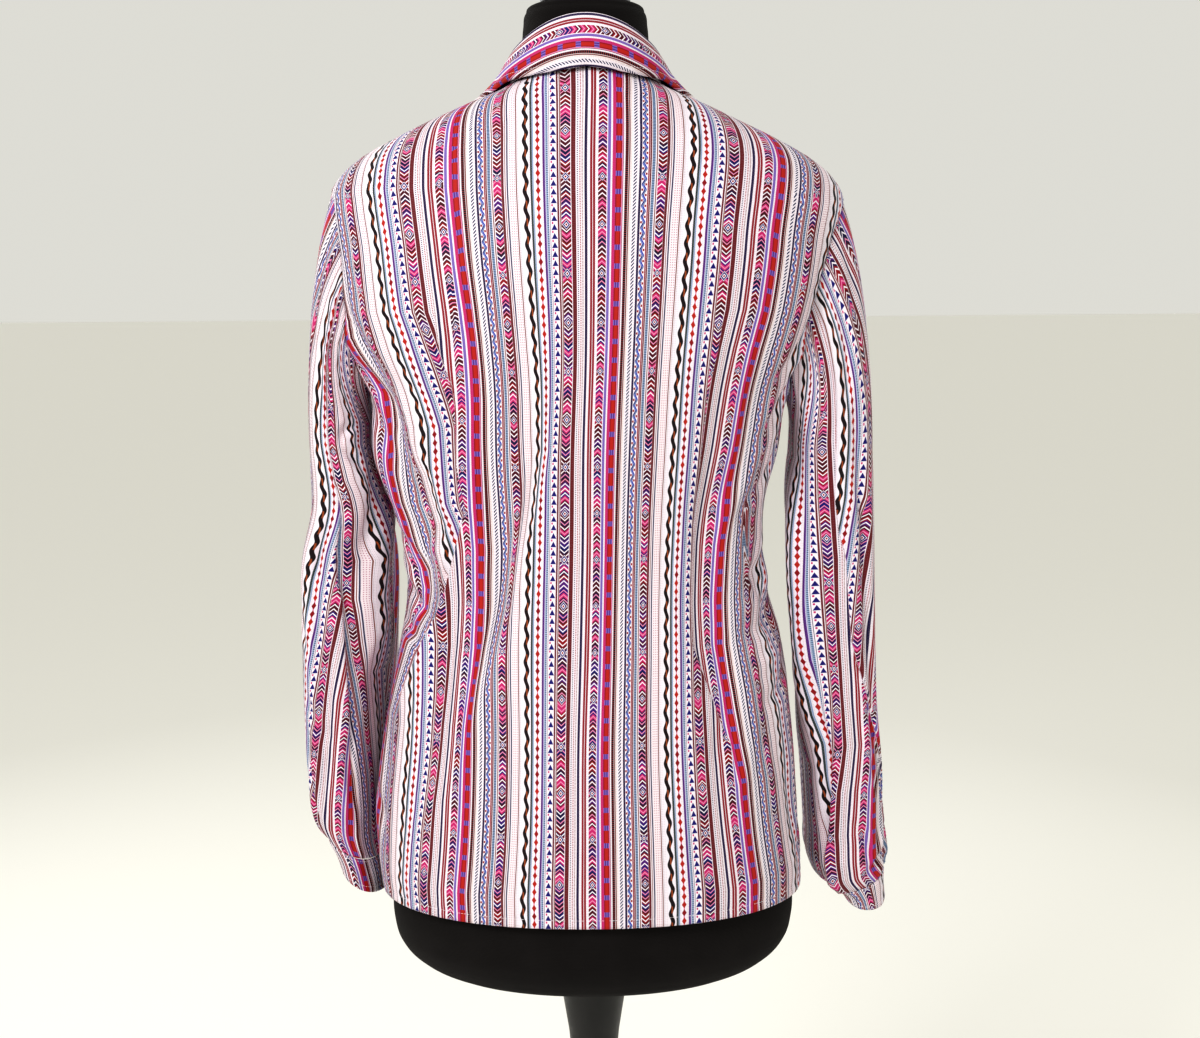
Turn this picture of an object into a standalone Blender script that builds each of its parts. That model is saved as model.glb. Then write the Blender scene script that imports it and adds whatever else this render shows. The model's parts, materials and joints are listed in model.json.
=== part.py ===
"""A long-sleeved blouse with a shirt collar, worn on a limbless dress form on a stand.

Metres, +Z up. The origin is under the middle of the stand's base. The front faces -Y, and the
wearer's left is +X. Cloth pieces are thin walls lofted through sections: the body of the blouse
is read from BODY, a table of level sections, and each sleeve from its own table of sections.
"""
import math

import bmesh
import bpy
import numpy as np
from mathutils import Vector

# Cloth
CLOTH = 0.0016          # wall of one cloth piece
SEAM_GAP = 0.0005       # between two pieces that are sewn edge to edge
LAID_GAP = 0.0005       # between a panel and what lies on it

# Armholes: a rounded loop on each side of the body
ARMPIT_LEVEL = 1.224
SHOULDER_LEVEL = 1.384
ARMHOLE_BACK = 0.042    # how far the loop reaches behind the side line
ARMHOLE_FRONT = 0.050   # and in front of it
ARMHOLE_SQUARE = 2.3
SHOULDER_LEAN = 0.0055  # the left shoulder sits this much above the mean, the right one below

# Neckline heights at the middle of the back, at the sides and at the middle of the front
NECK_BACK = 1.478
NECK_SIDE = 1.470
NECK_FRONT = 1.425

# Numbers of faces
BACK_COLUMNS = 28
FRONT_COLUMNS = 14
BODY_LEVELS = (0.802, 0.835, 0.870, 0.915, 0.960, 1.010, 1.055, 1.095, 1.130, 1.172, 1.205)
ARMHOLE_STEPS = 10
SHOULDER_STEPS = 4
SLEEVE_HEAD_ROWS = 6
UNDERARM_LIFT = 0.0009   # how far outside the body the sleeve's underside starts
ARC_SAMPLES = 65

# Level sections of the blouse's body: half widths to the wearer's left and right, depths of the
# back and the front behind and before the side line, and how square the section is.
BODY_NAMES = ("height", "left", "right", "back", "front", "square")
BODY = (
    (0.802, 0.1812, 0.1800, 0.1150, 0.1120, 2.20),
    (0.835, 0.1850, 0.1790, 0.1150, 0.1120, 2.20),
    (0.870, 0.1855, 0.1760, 0.1140, 0.1120, 2.20),
    (0.925, 0.1790, 0.1725, 0.1090, 0.1100, 2.20),
    (0.960, 0.1726, 0.1690, 0.1050, 0.1080, 2.20),
    (1.010, 0.1625, 0.1620, 0.0970, 0.1050, 2.20),
    (1.055, 0.1545, 0.1500, 0.0920, 0.1030, 2.25),
    (1.095, 0.1560, 0.1450, 0.0910, 0.1050, 2.30),
    (1.130, 0.1630, 0.1460, 0.0930, 0.1110, 2.30),
    (1.172, 0.1770, 0.1560, 0.0975, 0.1200, 2.35),
    (1.224, 0.1790, 0.1660, 0.1010, 0.1250, 2.40),
    (1.268, 0.2030, 0.1880, 0.1020, 0.1230, 2.40),
    (1.300, 0.2080, 0.1970, 0.1015, 0.1170, 2.40),
    (1.340, 0.2105, 0.2050, 0.0985, 0.1090, 2.25),
    (1.375, 0.2110, 0.2105, 0.0930, 0.0990, 2.10),
    (1.388, 0.2085, 0.2060, 0.0900, 0.0945, 2.04),
    (1.403, 0.1975, 0.1935, 0.0860, 0.0890, 1.96),
    (1.416, 0.1810, 0.1750, 0.0820, 0.0830, 1.88),
    (1.428, 0.1590, 0.1530, 0.0780, 0.0765, 1.82),
    (1.442, 0.1300, 0.1240, 0.0725, 0.0700, 1.80),
    (1.456, 0.0970, 0.0940, 0.0665, 0.0640, 1.85),
    (1.470, 0.0625, 0.0615, 0.0605, 0.0590, 2.00),
    (1.482, 0.0580, 0.0570, 0.0560, 0.0560, 2.00),
)

# Soft folds in the body. The place counts from the middle of the back (0) over the side line (1)
# to the middle of the front (2), and is negative on the wearer's right. A fold runs from its low
# height to its high one, is deepest in between, and may sink in (plus) or stand out (minus).
# Columns: low and high height, place at each, depth, half width.
BODY_FOLDS = (
    (0.880, 1.230, 0.62, 0.52, 0.0060, 0.014),
    (0.990, 1.210, 0.36, 0.34, 0.0030, 0.011),
    (0.860, 1.290, -0.47, -0.50, 0.0055, 0.013),
    (1.000, 1.150, -0.86, -0.74, 0.0045, 0.012),
    (1.060, 1.260, 0.80, 0.88, -0.0040, 0.016),
    (0.960, 1.200, 1.36, 1.30, 0.0055, 0.016),
    (0.960, 1.190, -1.38, -1.28, 0.0050, 0.016),
    (0.840, 1.120, 1.70, 1.62, 0.0040, 0.014),
    (0.830, 1.100, -1.66, -1.60, 0.0045, 0.015),
    (1.230, 1.345, 0.74, 0.84, 0.0030, 0.012),
    (1.230, 1.335, -0.76, -0.85, 0.0035, 0.012),
)

# Sections of the sleeves below the armhole, counted outward and forward from the body's middle.
# The tilt lifts a section's outer side, and the swing turns its front towards the body, in degrees.
SLEEVE_NAMES = ("height", "out", "along", "wide", "deep", "square", "tilt", "swing")
SLEEVE_LEFT = (
    (1.185, 0.2073, -0.022, 0.0275, 0.0630, 2.4, 0.10, 0.0),
    (1.130, 0.2040, -0.026, 0.0312, 0.0640, 2.6, 0.00, 1.0),
    (1.086, 0.2062, -0.028, 0.0310, 0.0635, 2.8, 0.00, 12.0),
    (1.018, 0.2080, -0.030, 0.0312, 0.0625, 2.8, 0.00, 14.0),
    (0.956, 0.2105, -0.031, 0.0308, 0.0610, 2.8, 0.00, 12.0),
    (0.900, 0.2125, -0.032, 0.0295, 0.0590, 2.7, 0.06, 10.0),
    (0.862, 0.2125, -0.032, 0.0283, 0.0560, 2.6, 0.20, 9.0),
    (0.843, 0.2105, -0.033, 0.0262, 0.0520, 2.5, 0.40, 9.0),
    (0.830, 0.2075, -0.033, 0.0228, 0.0470, 2.4, 0.55, 9.0),
)
SLEEVE_RIGHT = (
    (1.178, 0.2050, -0.024, 0.0335, 0.0620, 2.7, 0.10, 0.0),
    (1.130, 0.2055, -0.029, 0.0343, 0.0640, 3.0, 0.00, 1.0),
    (1.049, 0.2078, -0.031, 0.0340, 0.0630, 3.1, 0.00, 2.0),
    (0.963, 0.2128, -0.032, 0.0315, 0.0610, 3.0, 0.00, 3.0),
    (0.884, 0.2187, -0.032, 0.0315, 0.0590, 2.8, 0.05, 3.0),
    (0.840, 0.2225, -0.032, 0.0328, 0.0570, 2.6, 0.12, 2.0),
    (0.814, 0.2252, -0.032, 0.0328, 0.0545, 2.5, 0.22, 1.0),
    (0.802, 0.2288, -0.032, 0.0286, 0.0500, 2.4, 0.35, 0.0),
    (0.794, 0.2345, -0.032, 0.0225, 0.0450, 2.4, 0.45, 0.0),
)
# Long folds down the sleeves. The turn goes from the outermost line (0) over the back (90).
# Columns: low and high height, turn at each, depth, half width in degrees.
SLEEVE_LEFT_FOLDS = (
    (0.860, 1.250, 94, 74, 0.0050, 9),
    (0.840, 1.200, 245, 262, 0.0050, 11),
    (0.900, 1.160, 20, 28, 0.0030, 9),
)
SLEEVE_RIGHT_FOLDS = (
    (0.900, 1.260, 52, 76, 0.0050, 9),
    (0.840, 1.180, 258, 246, 0.0050, 11),
    (0.830, 0.960, 128, 112, 0.0035, 10),
)

# Cuffs: sections from the sleeve's end down to the cuff's lower edge
CUFF_LEFT = (
    (0.8294, 0.2075, -0.033, 0.0228, 0.0470, 2.4, 0.55, 9.0),
    (0.8130, 0.2034, -0.033, 0.0196, 0.0425, 2.3, 0.60, 9.0),
    (0.7970, 0.2000, -0.033, 0.0185, 0.0420, 2.3, 0.62, 9.0),
)
CUFF_RIGHT = (
    (0.7934, 0.2345, -0.032, 0.0225, 0.0450, 2.4, 0.45, 0.0),
    (0.7830, 0.2390, -0.032, 0.0186, 0.0420, 2.3, 0.30, 0.0),
    (0.7725, 0.2415, -0.032, 0.0168, 0.0415, 2.3, 0.12, 0.0),
)
CUFF_COLUMNS = 28
CUFF_LAP = 28           # degrees by which a cuff's button end lies over the other
CUFF_LAP_TURN = 300     # where on the cuff the lap is: outside, towards the front
LAP_RISE = (0.45, 0.05) # radians before the lap in which the button end rises

# Collar
STAND_BACK = 0.036      # height of the stand at the back, the sides and the front
STAND_SIDE = 0.019
STAND_FRONT = 0.022
STAND_LAP = 0.15        # how far the stand's button end passes the middle of the front
STAND_DIP = 0.30        # share by which the stand's ends are lower
STAND_IN = 0.0045       # how far the stand leans in over its height
ROLL = 0.0030           # radius in which the collar turns over
COLLAR_COLUMNS = 28
COLLAR_OPEN = 0.07      # how far the collar's ends stay from the middle of the front
# The collar's outer edge: the neck place it belongs to, its place and height over the body, and
# how far it lies off the body there.
COLLAR_NAMES = ("place", "edge_place", "edge_height", "lift")
COLLAR_EDGE = (
    (0.00, 0.00, 1.4750, 0.0145),
    (0.50, 0.46, 1.4695, 0.0120),
    (1.00, 0.98, 1.4655, 0.0038),
    (1.40, 1.33, 1.4330, 0.0048),
    (1.70, 1.55, 1.3960, 0.0048),
    (2.00, 1.70, 1.3560, 0.0045),
)

# Button band and buttons
BAND_LEFT = 0.0145      # the band's edges beside the middle of the front
BAND_RIGHT = 0.0165
BAND_SEAM = 0.0150      # where the two fronts meet under the band
BAND_SHORT = 0.0028     # how far below the neckline the band ends
BAND_COLUMNS = 4
BUTTON_RADIUS = 0.0057
BUTTON_THICK = 0.0026
BUTTON_RIM = 0.0012
BUTTON_DISH = 0.0007
BUTTON_SIDES = 10
FRONT_BUTTONS = 7
TOP_BUTTON = 1.385
LOW_BUTTON = 0.865

# Dress form: level sections
FORM_NAMES = ("height", "half", "back", "front", "square")
FORM = (
    (0.7225, 0.1050, 0.0560, 0.0560, 2.1),
    (0.7250, 0.1230, 0.0700, 0.0700, 2.1),
    (0.7310, 0.1410, 0.0830, 0.0830, 2.1),
    (0.7410, 0.1570, 0.0930, 0.0930, 2.1),
    (0.7550, 0.1680, 0.1005, 0.0990, 2.1),
    (0.7720, 0.1725, 0.1040, 0.1020, 2.1),
    (0.8000, 0.1730, 0.1060, 0.1020, 2.1),
    (0.8700, 0.1680, 0.1050, 0.1020, 2.1),
    (0.9250, 0.1630, 0.1000, 0.1000, 2.1),
    (0.9900, 0.1510, 0.0890, 0.0960, 2.1),
    (1.0550, 0.1370, 0.0780, 0.0920, 2.1),
    (1.1100, 0.1340, 0.0780, 0.0960, 2.1),
    (1.1720, 0.1430, 0.0830, 0.1060, 2.2),
    (1.2240, 0.1510, 0.0880, 0.1120, 2.3),
    (1.2800, 0.1600, 0.0900, 0.1080, 2.3),
    (1.3400, 0.1740, 0.0870, 0.0960, 2.2),
    (1.3750, 0.1850, 0.0810, 0.0860, 2.0),
    (1.3950, 0.1860, 0.0770, 0.0800, 1.8),
    (1.4100, 0.1750, 0.0730, 0.0745, 1.7),
    (1.4230, 0.1560, 0.0690, 0.0680, 1.70),
    (1.4370, 0.1292, 0.0640, 0.0620, 1.70),
    (1.4520, 0.0972, 0.0580, 0.0555, 1.80),
    (1.4680, 0.0565, 0.0515, 0.0505, 2.0),
    (1.4850, 0.0520, 0.0490, 0.0490, 2.0),
    (1.5160, 0.0500, 0.0480, 0.0480, 2.0),
    (1.5260, 0.0480, 0.0460, 0.0460, 2.0),
    (1.5320, 0.0420, 0.0400, 0.0400, 2.0),
    (1.5330, 0.0380, 0.0360, 0.0360, 2.0),
)
FORM_COLUMNS = 30
CAP_RADIUS = 0.0363
CAP_BASE = 1.5333
CAP_TOP = 1.5480
CAP_EDGE = 0.004

# Stand: turned pieces
STAND_SIDES = 24
SOCKET_TOP = 0.7222
SOCKET_LOW = 0.5600
SOCKET_TOP_RADIUS = 0.0290
SOCKET_LOW_RADIUS = 0.0175
COLLAR_RING = 0.0205
POLE_RADIUS = 0.0140
POLE_LOW = 0.0325
BASE_RADIUS = 0.1850
BASE_THICK = 0.0090
HUB_RADIUS = 0.0300
HUB_TOP = 0.0320
FIT_GAP = 0.0003
BASE_SIDES = 36


def column(table, names, name, where):
    """Read one column of a table at any value of its first column, along a smooth curve."""
    keys = np.array([row[0] for row in table])
    values = np.array([row[names.index(name)] for row in table])
    order = np.argsort(keys)
    keys, values = keys[order], values[order]
    slopes = np.gradient(values, keys)
    where = np.clip(np.asarray(where, float), keys[0], keys[-1])
    cell = np.clip(np.searchsorted(keys, where) - 1, 0, len(keys) - 2)
    step = keys[cell + 1] - keys[cell]
    f = (where - keys[cell]) / step
    return (values[cell] * (1 + 2 * f) * (1 - f) ** 2 + slopes[cell] * step * f * (1 - f) ** 2
            + values[cell + 1] * f * f * (3 - 2 * f) - slopes[cell + 1] * step * f * f * (1 - f))


def ease(x):
    """A smooth step from 0 to 1."""
    x = np.clip(x, 0.0, 1.0)
    return x * x * (3 - 2 * x)


def quarter(wide, deep, square, share):
    """Point on a quarter of a rounded section, at a share of its length from the middle line.

    Gives how far out, how far deep, and the whole quarter's length."""
    shape = np.shape(share)
    wide, deep, square, share = (np.broadcast_to(v, shape).ravel() for v in (wide, deep, square, share))
    turn = np.linspace(0.5 * math.pi, 0.0, ARC_SAMPLES)
    power = (2.0 / square)[:, None]
    out = wide[:, None] * np.cos(turn) ** power
    back = deep[:, None] * np.sin(turn) ** power
    out[:, 0], back[:, -1] = 0.0, 0.0
    lengths = np.hypot(np.diff(out, axis=1), np.diff(back, axis=1))
    run = np.concatenate([np.zeros((len(wide), 1)), np.cumsum(lengths, axis=1)], axis=1)
    target = share * run[:, -1]
    cell = np.clip((run < target[:, None]).sum(axis=1) - 1, 0, ARC_SAMPLES - 2)
    rows = np.arange(len(wide))
    part = (target - run[rows, cell]) / (run[rows, cell + 1] - run[rows, cell])
    out_at = out[rows, cell] + part * (out[rows, cell + 1] - out[rows, cell])
    back_at = back[rows, cell] + part * (back[rows, cell + 1] - back[rows, cell])
    return out_at.reshape(shape), back_at.reshape(shape), run[:, -1].reshape(shape)


def wrapped(place):
    """Bring a place round the body into -2..2."""
    return (np.asarray(place, float) + 2.0) % 4.0 - 2.0


def section(place, height):
    """Point of the body's unfolded surface, and the length of the quarter that it is on."""
    place = wrapped(place)
    side = np.where(place < 0, -1.0, 1.0)
    reach = np.abs(place)
    behind = reach <= 1.0
    height = np.broadcast_to(height, place.shape)
    left = column(BODY, BODY_NAMES, "left", height)
    right = column(BODY, BODY_NAMES, "right", height)
    back = column(BODY, BODY_NAMES, "back", height)
    front = column(BODY, BODY_NAMES, "front", height)
    square = column(BODY, BODY_NAMES, "square", height)
    out, deep, length = quarter(np.where(side > 0, left, right), np.where(behind, back, front), square,
                                np.where(behind, reach, 2.0 - reach))
    return np.stack([side * out, np.where(behind, deep, -deep), height], axis=-1), length


def folds_at(place, height, length):
    """How far the body's folds move its surface out at a place."""
    place = wrapped(place)
    sum_out = np.zeros(np.shape(place))
    for low, high, place_low, place_high, depth, width in BODY_FOLDS:
        f = np.clip((height - low) / (high - low), 0.0, 1.0)
        strength = np.sin(math.pi * f) ** 0.8
        centre = place_low + (place_high - place_low) * f
        x = (place - centre) * length / width
        sum_out = sum_out - depth * strength * (1 - 0.55 * x * x) * np.exp(-0.5 * x * x)
    return sum_out


def body(place, level, out=0.0):
    """Point of the blouse's body at a place and a level, moved out by a distance."""
    place = np.asarray(place, float)
    height = level + lean(place, level)
    point, length = section(place, height)
    tiny = 0.002
    along = section(place + tiny, height)[0] - section(place - tiny, height)[0]
    upward = section(place, height + tiny)[0] - section(place, height - tiny)[0]
    normal = np.cross(along, upward)
    normal /= np.linalg.norm(normal, axis=-1, keepdims=True)
    outward = np.sum(normal * point * np.array([1.0, 1.0, 0.0]), axis=-1, keepdims=True)
    normal = np.where(outward < 0, -normal, normal)
    shift = folds_at(place, height, length) + out
    return point + normal * shift[..., None], normal


def lean(place, level):
    """The left shoulder sits a little higher than the right one."""
    rise = ease((level - 1.05) / (ARMPIT_LEVEL - 1.05)) * (1 - ease((level - SHOULDER_LEVEL) / 0.08))
    return SHOULDER_LEAN * rise * np.sin(0.5 * math.pi * wrapped(place))


def neckline(place):
    """Height of the neckline round the neck."""
    reach = np.abs(wrapped(place))
    back = NECK_SIDE + (NECK_BACK - NECK_SIDE) * np.cos(0.5 * math.pi * np.minimum(reach, 1.0)) ** 2
    front = NECK_SIDE + (NECK_FRONT - NECK_SIDE) * np.sin(0.5 * math.pi * (np.maximum(reach, 1.0) - 1.0)) ** 2
    return np.where(reach <= 1.0, back, front)


def armhole(turn, margin):
    """Level and depth from the side line of the armhole, at a turn from its top over the back."""
    middle = 0.5 * (ARMPIT_LEVEL + SHOULDER_LEVEL)
    half = 0.5 * (SHOULDER_LEVEL - ARMPIT_LEVEL) + margin
    power = 2.0 / ARMHOLE_SQUARE
    c, s = np.cos(turn), np.sin(turn)
    depth = np.where(s >= 0, ARMHOLE_BACK, ARMHOLE_FRONT) + margin
    return middle + half * np.sign(c) * np.abs(c) ** power, depth * np.abs(s) ** power


def place_of(side, level, depth, behind):
    """Place on the body whose depth from the side line is the given one."""
    base = 1.0 if behind else 2.0
    sign = -1.0 if behind else 1.0
    shares = np.linspace(0.0, 1.0, 201)
    places = side * (1.0 + sign * (1.0 - shares))
    height = level + float(lean(np.array(side * base), level))
    depths = np.abs(section(places, np.full(places.shape, height))[0][:, 1])
    share = np.interp(depth, depths[::-1], shares[::-1])
    return side * (1.0 + sign * (1.0 - share))


def armhole_steps():
    """Turns of the armhole's corners from its top to its bottom, ends left out."""
    return [math.pi * step / (ARMHOLE_STEPS + 1) for step in range(1, ARMHOLE_STEPS + 1)]


def armhole_points(side, margin, out=0.0):
    """The armhole's corners round the loop: top, down the back, bottom, up the front."""
    steps = armhole_steps()
    turns = [0.0] + steps + [math.pi] + [2 * math.pi - step for step in reversed(steps)]
    points, normals = [], []
    for turn in turns:
        level, depth = armhole(turn, margin)
        place = place_of(side, float(level), float(depth), turn <= math.pi)
        point, normal = body(np.array([place]), float(level), out)
        points.append(point[0])
        normals.append(normal[0])
    return np.array(turns), np.array(points), np.array(normals)


def edge_place(side, level, behind):
    """Where a panel ends at a level: at the side line, or at the armhole."""
    middle = 0.5 * (ARMPIT_LEVEL + SHOULDER_LEVEL)
    half = 0.5 * (SHOULDER_LEVEL - ARMPIT_LEVEL) + 0.5 * SEAM_GAP
    height = np.array([level])
    length = section(np.array([side * (0.9 if behind else 1.1)]), height)[1][0]
    trim = 0.5 * SEAM_GAP / length
    limit = 1.0 - trim if behind else 1.0 + trim
    ratio = abs(level - middle) / half
    if ratio >= 1.0:
        return side * limit
    depth = (ARMHOLE_BACK if behind else ARMHOLE_FRONT) + 0.5 * SEAM_GAP
    depth = depth * (1.0 - ratio ** ARMHOLE_SQUARE) ** (1.0 / ARMHOLE_SQUARE)
    place = abs(place_of(side, level, depth, behind))
    return side * (min(place, limit) if behind else max(place, limit))


def panel_levels():
    """Levels of a panel's rows up to the shoulder tip, then shares of the way to the neckline."""
    levels = list(BODY_LEVELS) + [ARMPIT_LEVEL - 0.5 * SEAM_GAP]
    levels += [float(armhole(turn, 0.5 * SEAM_GAP)[0]) for turn in reversed(armhole_steps())]
    levels.append(SHOULDER_LEVEL + 0.5 * SEAM_GAP)
    return levels


def panel(first_edge, last_edge, columns, lift=0.0, short=0.0):
    """Outer and inner points of a body panel between two edges, hem to neckline.

    The lift moves it off the body, and short ends it below the neckline."""
    outer, inner = [], []
    shares = np.linspace(0.0, 1.0, columns + 1)
    for level in panel_levels():
        places = first_edge(level) + shares * (last_edge(level) - first_edge(level))
        outer.append(body(places, level, lift)[0])
        inner.append(body(places, level, lift - CLOTH)[0])
    top = SHOULDER_LEVEL + 0.5 * SEAM_GAP
    places = first_edge(top + 0.001) + shares * (last_edge(top + 0.001) - first_edge(top + 0.001))
    for step in range(1, SHOULDER_STEPS + 1):
        level = top + (neckline(places) - short - top) * step / SHOULDER_STEPS
        outer.append(body(places, level, lift)[0])
        inner.append(body(places, level, lift - CLOTH)[0])
    return np.array(outer), np.array(inner)


def material(name, colour, roughness, metallic=0.0):
    """A plain Principled material."""
    made = bpy.data.materials.new(name)
    made.use_nodes = True
    shader = made.node_tree.nodes["Principled BSDF"]
    shader.inputs["Base Color"].default_value = (*colour, 1.0)
    shader.inputs["Roughness"].default_value = roughness
    shader.inputs["Metallic"].default_value = metallic
    made.diffuse_color = (*colour, 1.0)
    return made


def collection(name):
    """A collection in the scene for the object's pieces."""
    made = bpy.data.collections.new(name)
    bpy.context.scene.collection.children.link(made)
    return made


def finish(name, mesh, finish_of):
    """Put a mesh into the scene as a named piece with its own material."""
    made = bpy.data.objects.new(name, mesh)
    mesh.materials.append(finish_of)
    mesh.shade_smooth()
    mesh.set_sharp_from_angle(angle=math.radians(40))
    PIECES.objects.link(made)
    return made


def wall(name, outer, inner, finish_of, closed=False):
    """Loft a cloth wall between its outer and inner points, a row of points for each section."""
    rows, columns = outer.shape[:2]
    form = bmesh.new()
    out = [[form.verts.new(point) for point in row] for row in outer]
    back = [[form.verts.new(point) for point in row] for row in inner]
    across = columns if closed else columns - 1
    for r in range(rows - 1):
        for c in range(across):
            d = (c + 1) % columns
            form.faces.new((out[r][c], out[r][d], out[r + 1][d], out[r + 1][c]))
            form.faces.new((back[r][c], back[r + 1][c], back[r + 1][d], back[r][d]))
    for c in range(across):
        d = (c + 1) % columns
        form.faces.new((out[0][d], out[0][c], back[0][c], back[0][d]))
        form.faces.new((out[-1][c], out[-1][d], back[-1][d], back[-1][c]))
    if not closed:
        for r in range(rows - 1):
            form.faces.new((out[r][0], out[r + 1][0], back[r + 1][0], back[r][0]))
            form.faces.new((out[r + 1][-1], out[r][-1], back[r][-1], back[r + 1][-1]))
    bmesh.ops.recalc_face_normals(form, faces=form.faces)
    mesh = bpy.data.meshes.new(name)
    form.to_mesh(mesh)
    form.free()
    return finish(name, mesh, finish_of)


def turned(name, profile, finish_of, sides, centre=(0.0, 0.0)):
    """Turn a profile of (radius, height), which runs down its outer side, about an upright axis."""
    mesh = bpy.data.meshes.new(name)
    mesh.from_pydata([(radius, 0.0, height) for radius, height in profile],
                     [(i, i + 1) for i in range(len(profile) - 1)], [])
    made = bpy.data.objects.new(name, mesh)
    mesh.materials.append(finish_of)
    PIECES.objects.link(made)
    made.location = (centre[0], centre[1], 0.0)
    screw = made.modifiers.new("turn", "SCREW")
    screw.steps = sides
    screw.render_steps = sides
    screw.use_merge_vertices = True
    screw.merge_threshold = 0.0001
    screw.use_smooth_shade = True
    return made


def sleeve_section(table, side, turn, height):
    """Point of a sleeve's unfolded surface at a turn and a height."""
    read = {name: column(table, SLEEVE_NAMES, name, height) for name in SLEEVE_NAMES[1:]}
    power = 2.0 / read["square"]
    c, s = np.cos(turn), np.sin(turn)
    out = read["wide"] * np.sign(c) * np.abs(c) ** power
    deep = read["deep"] * np.sign(s) * np.abs(s) ** power
    swing = np.radians(read["swing"])
    return np.stack([side * (read["out"] + out * np.cos(swing) + deep * np.sin(swing)),
                     read["along"] + deep * np.cos(swing) - out * np.sin(swing),
                     height + read["tilt"] * out], axis=-1)


def sleeve_folds(folds, turns, height):
    """How far a sleeve's long folds move it out."""
    degrees = np.degrees(turns)
    sum_out = np.zeros(np.shape(turns))
    for low, high, turn_low, turn_high, depth, width in folds:
        f = float(np.clip((height - low) / (high - low), 0.0, 1.0))
        centre = turn_low + (turn_high - turn_low) * f
        x = (degrees - centre) / width
        strength = math.sin(math.pi * f) ** 0.8
        sum_out = sum_out - depth * strength * (1 - 0.5 * x * x) * np.exp(-0.5 * x * x)
    return sum_out


def grid_normals(points, away_from):
    """Outward normals of a grid of points that closes round its columns."""
    along = np.roll(points, -1, axis=1) - np.roll(points, 1, axis=1)
    down = np.gradient(points, axis=0)
    normals = np.cross(along, down)
    normals /= np.linalg.norm(normals, axis=-1, keepdims=True)
    sign = np.sign(np.sum(normals * (points - away_from), axis=-1).mean())
    return normals * sign


def sleeve(name, side, table, folds, finish_of):
    """A sleeve from its armhole to its end above the cuff."""
    turns, start, seam_normals = armhole_points(side, -0.5 * SEAM_GAP)
    under = ease((math.pi - np.abs(turns - math.pi)) / math.pi * 3.0 - 1.7)[:, None]
    start = start + seam_normals * UNDERARM_LIFT * under
    join = table[0][0]
    end = sleeve_section(table, side, turns, np.full(turns.shape, join))
    below = sleeve_section(table, side, turns, np.full(turns.shape, join - 0.002))
    falling = (below - end) / np.linalg.norm(below - end, axis=-1, keepdims=True)
    length = np.linalg.norm(end - start, axis=-1, keepdims=True)
    leaving = np.stack([side * (0.30 + 0.15 * np.sin(turns) ** 2), np.zeros(turns.shape),
                        np.full(turns.shape, -0.92)], axis=-1)
    rows = []
    for f in np.linspace(0.0, 1.0, SLEEVE_HEAD_ROWS + 1)[:-1]:
        rows.append(start * (1 + 2 * f) * (1 - f) ** 2 + leaving * length * f * (1 - f) ** 2
                    + end * f * f * (3 - 2 * f) - falling * length * f * f * (1 - f))
    heights = sorted(set([row[0] for row in table]) | {0.5 * (table[0][0] + table[1][0])}, reverse=True)
    for height in heights:
        rows.append(sleeve_section(table, side, turns, np.full(turns.shape, height)))
    outer = np.array(rows)
    middles = outer.mean(axis=1, keepdims=True)
    normals = grid_normals(outer, middles)
    for r in range(3):
        share = np.maximum(ease(r / 3.0), under)
        mixed = seam_normals * (1 - share) + normals[r] * share
        normals[r] = mixed / np.linalg.norm(mixed, axis=-1, keepdims=True)
    for r in range(1, len(outer)):
        shift = sleeve_folds(folds, turns, float(outer[r, :, 2].mean()))
        outer[r] += normals[r] * shift[:, None]
    return wall(name, outer, outer - normals * CLOTH, finish_of, closed=True)


def cuff(name, side, table, finish_of):
    """A cuff: a band with its button end laid over the other. Gives its button's place."""
    start = math.radians(CUFF_LAP_TURN)
    turns = start + np.linspace(0.0, math.tau + math.radians(CUFF_LAP), CUFF_COLUMNS + 1)
    rise_from, rise_to = LAP_RISE
    raised = (CLOTH + LAID_GAP) * ease((turns - start - math.tau + rise_from) / (rise_from - rise_to))
    outer, inner = [], []
    for row in table:
        height = np.full(turns.shape, row[0])
        ring = sleeve_section(table, side, turns, height)
        ahead = sleeve_section(table, side, turns + 0.01, height)
        level = np.cross(ahead - ring, np.array([0.0, 0.0, side]))
        level /= np.linalg.norm(level, axis=-1, keepdims=True)
        outer.append(ring + level * raised[:, None])
        inner.append(ring + level * (raised - CLOTH)[:, None])
    wall(name, np.array(outer), np.array(inner), finish_of)
    at = -1 - round(0.5 * CUFF_LAP / (360 + CUFF_LAP) * CUFF_COLUMNS)
    middle = len(table) // 2
    normal = np.cross(outer[middle][at + 1] - outer[middle][at - 1], outer[middle + 1][at] - outer[middle - 1][at])
    outward = np.sign(np.dot(normal, outer[middle][at] - inner[middle][at]))
    return outer[middle][at], normal * outward / np.linalg.norm(normal)


def neck_point(place, lift, spread):
    """A point above the neckline, moved out sideways from it."""
    place = np.asarray(place, float)
    base, normal = body(place, neckline(place))
    flat = normal * np.array([1.0, 1.0, 0.0])
    flat /= np.linalg.norm(flat, axis=-1, keepdims=True)
    return base + flat * np.asarray(spread)[..., None] + np.array([0, 0, 1.0]) * np.asarray(lift)[..., None], flat


def stand_height(place):
    """Height of the collar stand round the neck."""
    reach = np.abs(np.clip(place, -2.0, 2.0))
    back = STAND_SIDE + (STAND_BACK - STAND_SIDE) * np.cos(0.5 * math.pi * np.minimum(reach, 1.0)) ** 1.5
    front = STAND_SIDE + (STAND_FRONT - STAND_SIDE) * np.sin(0.5 * math.pi * (np.maximum(reach, 1.0) - 1.0)) ** 2
    return np.where(reach <= 1.0, back, front)


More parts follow.
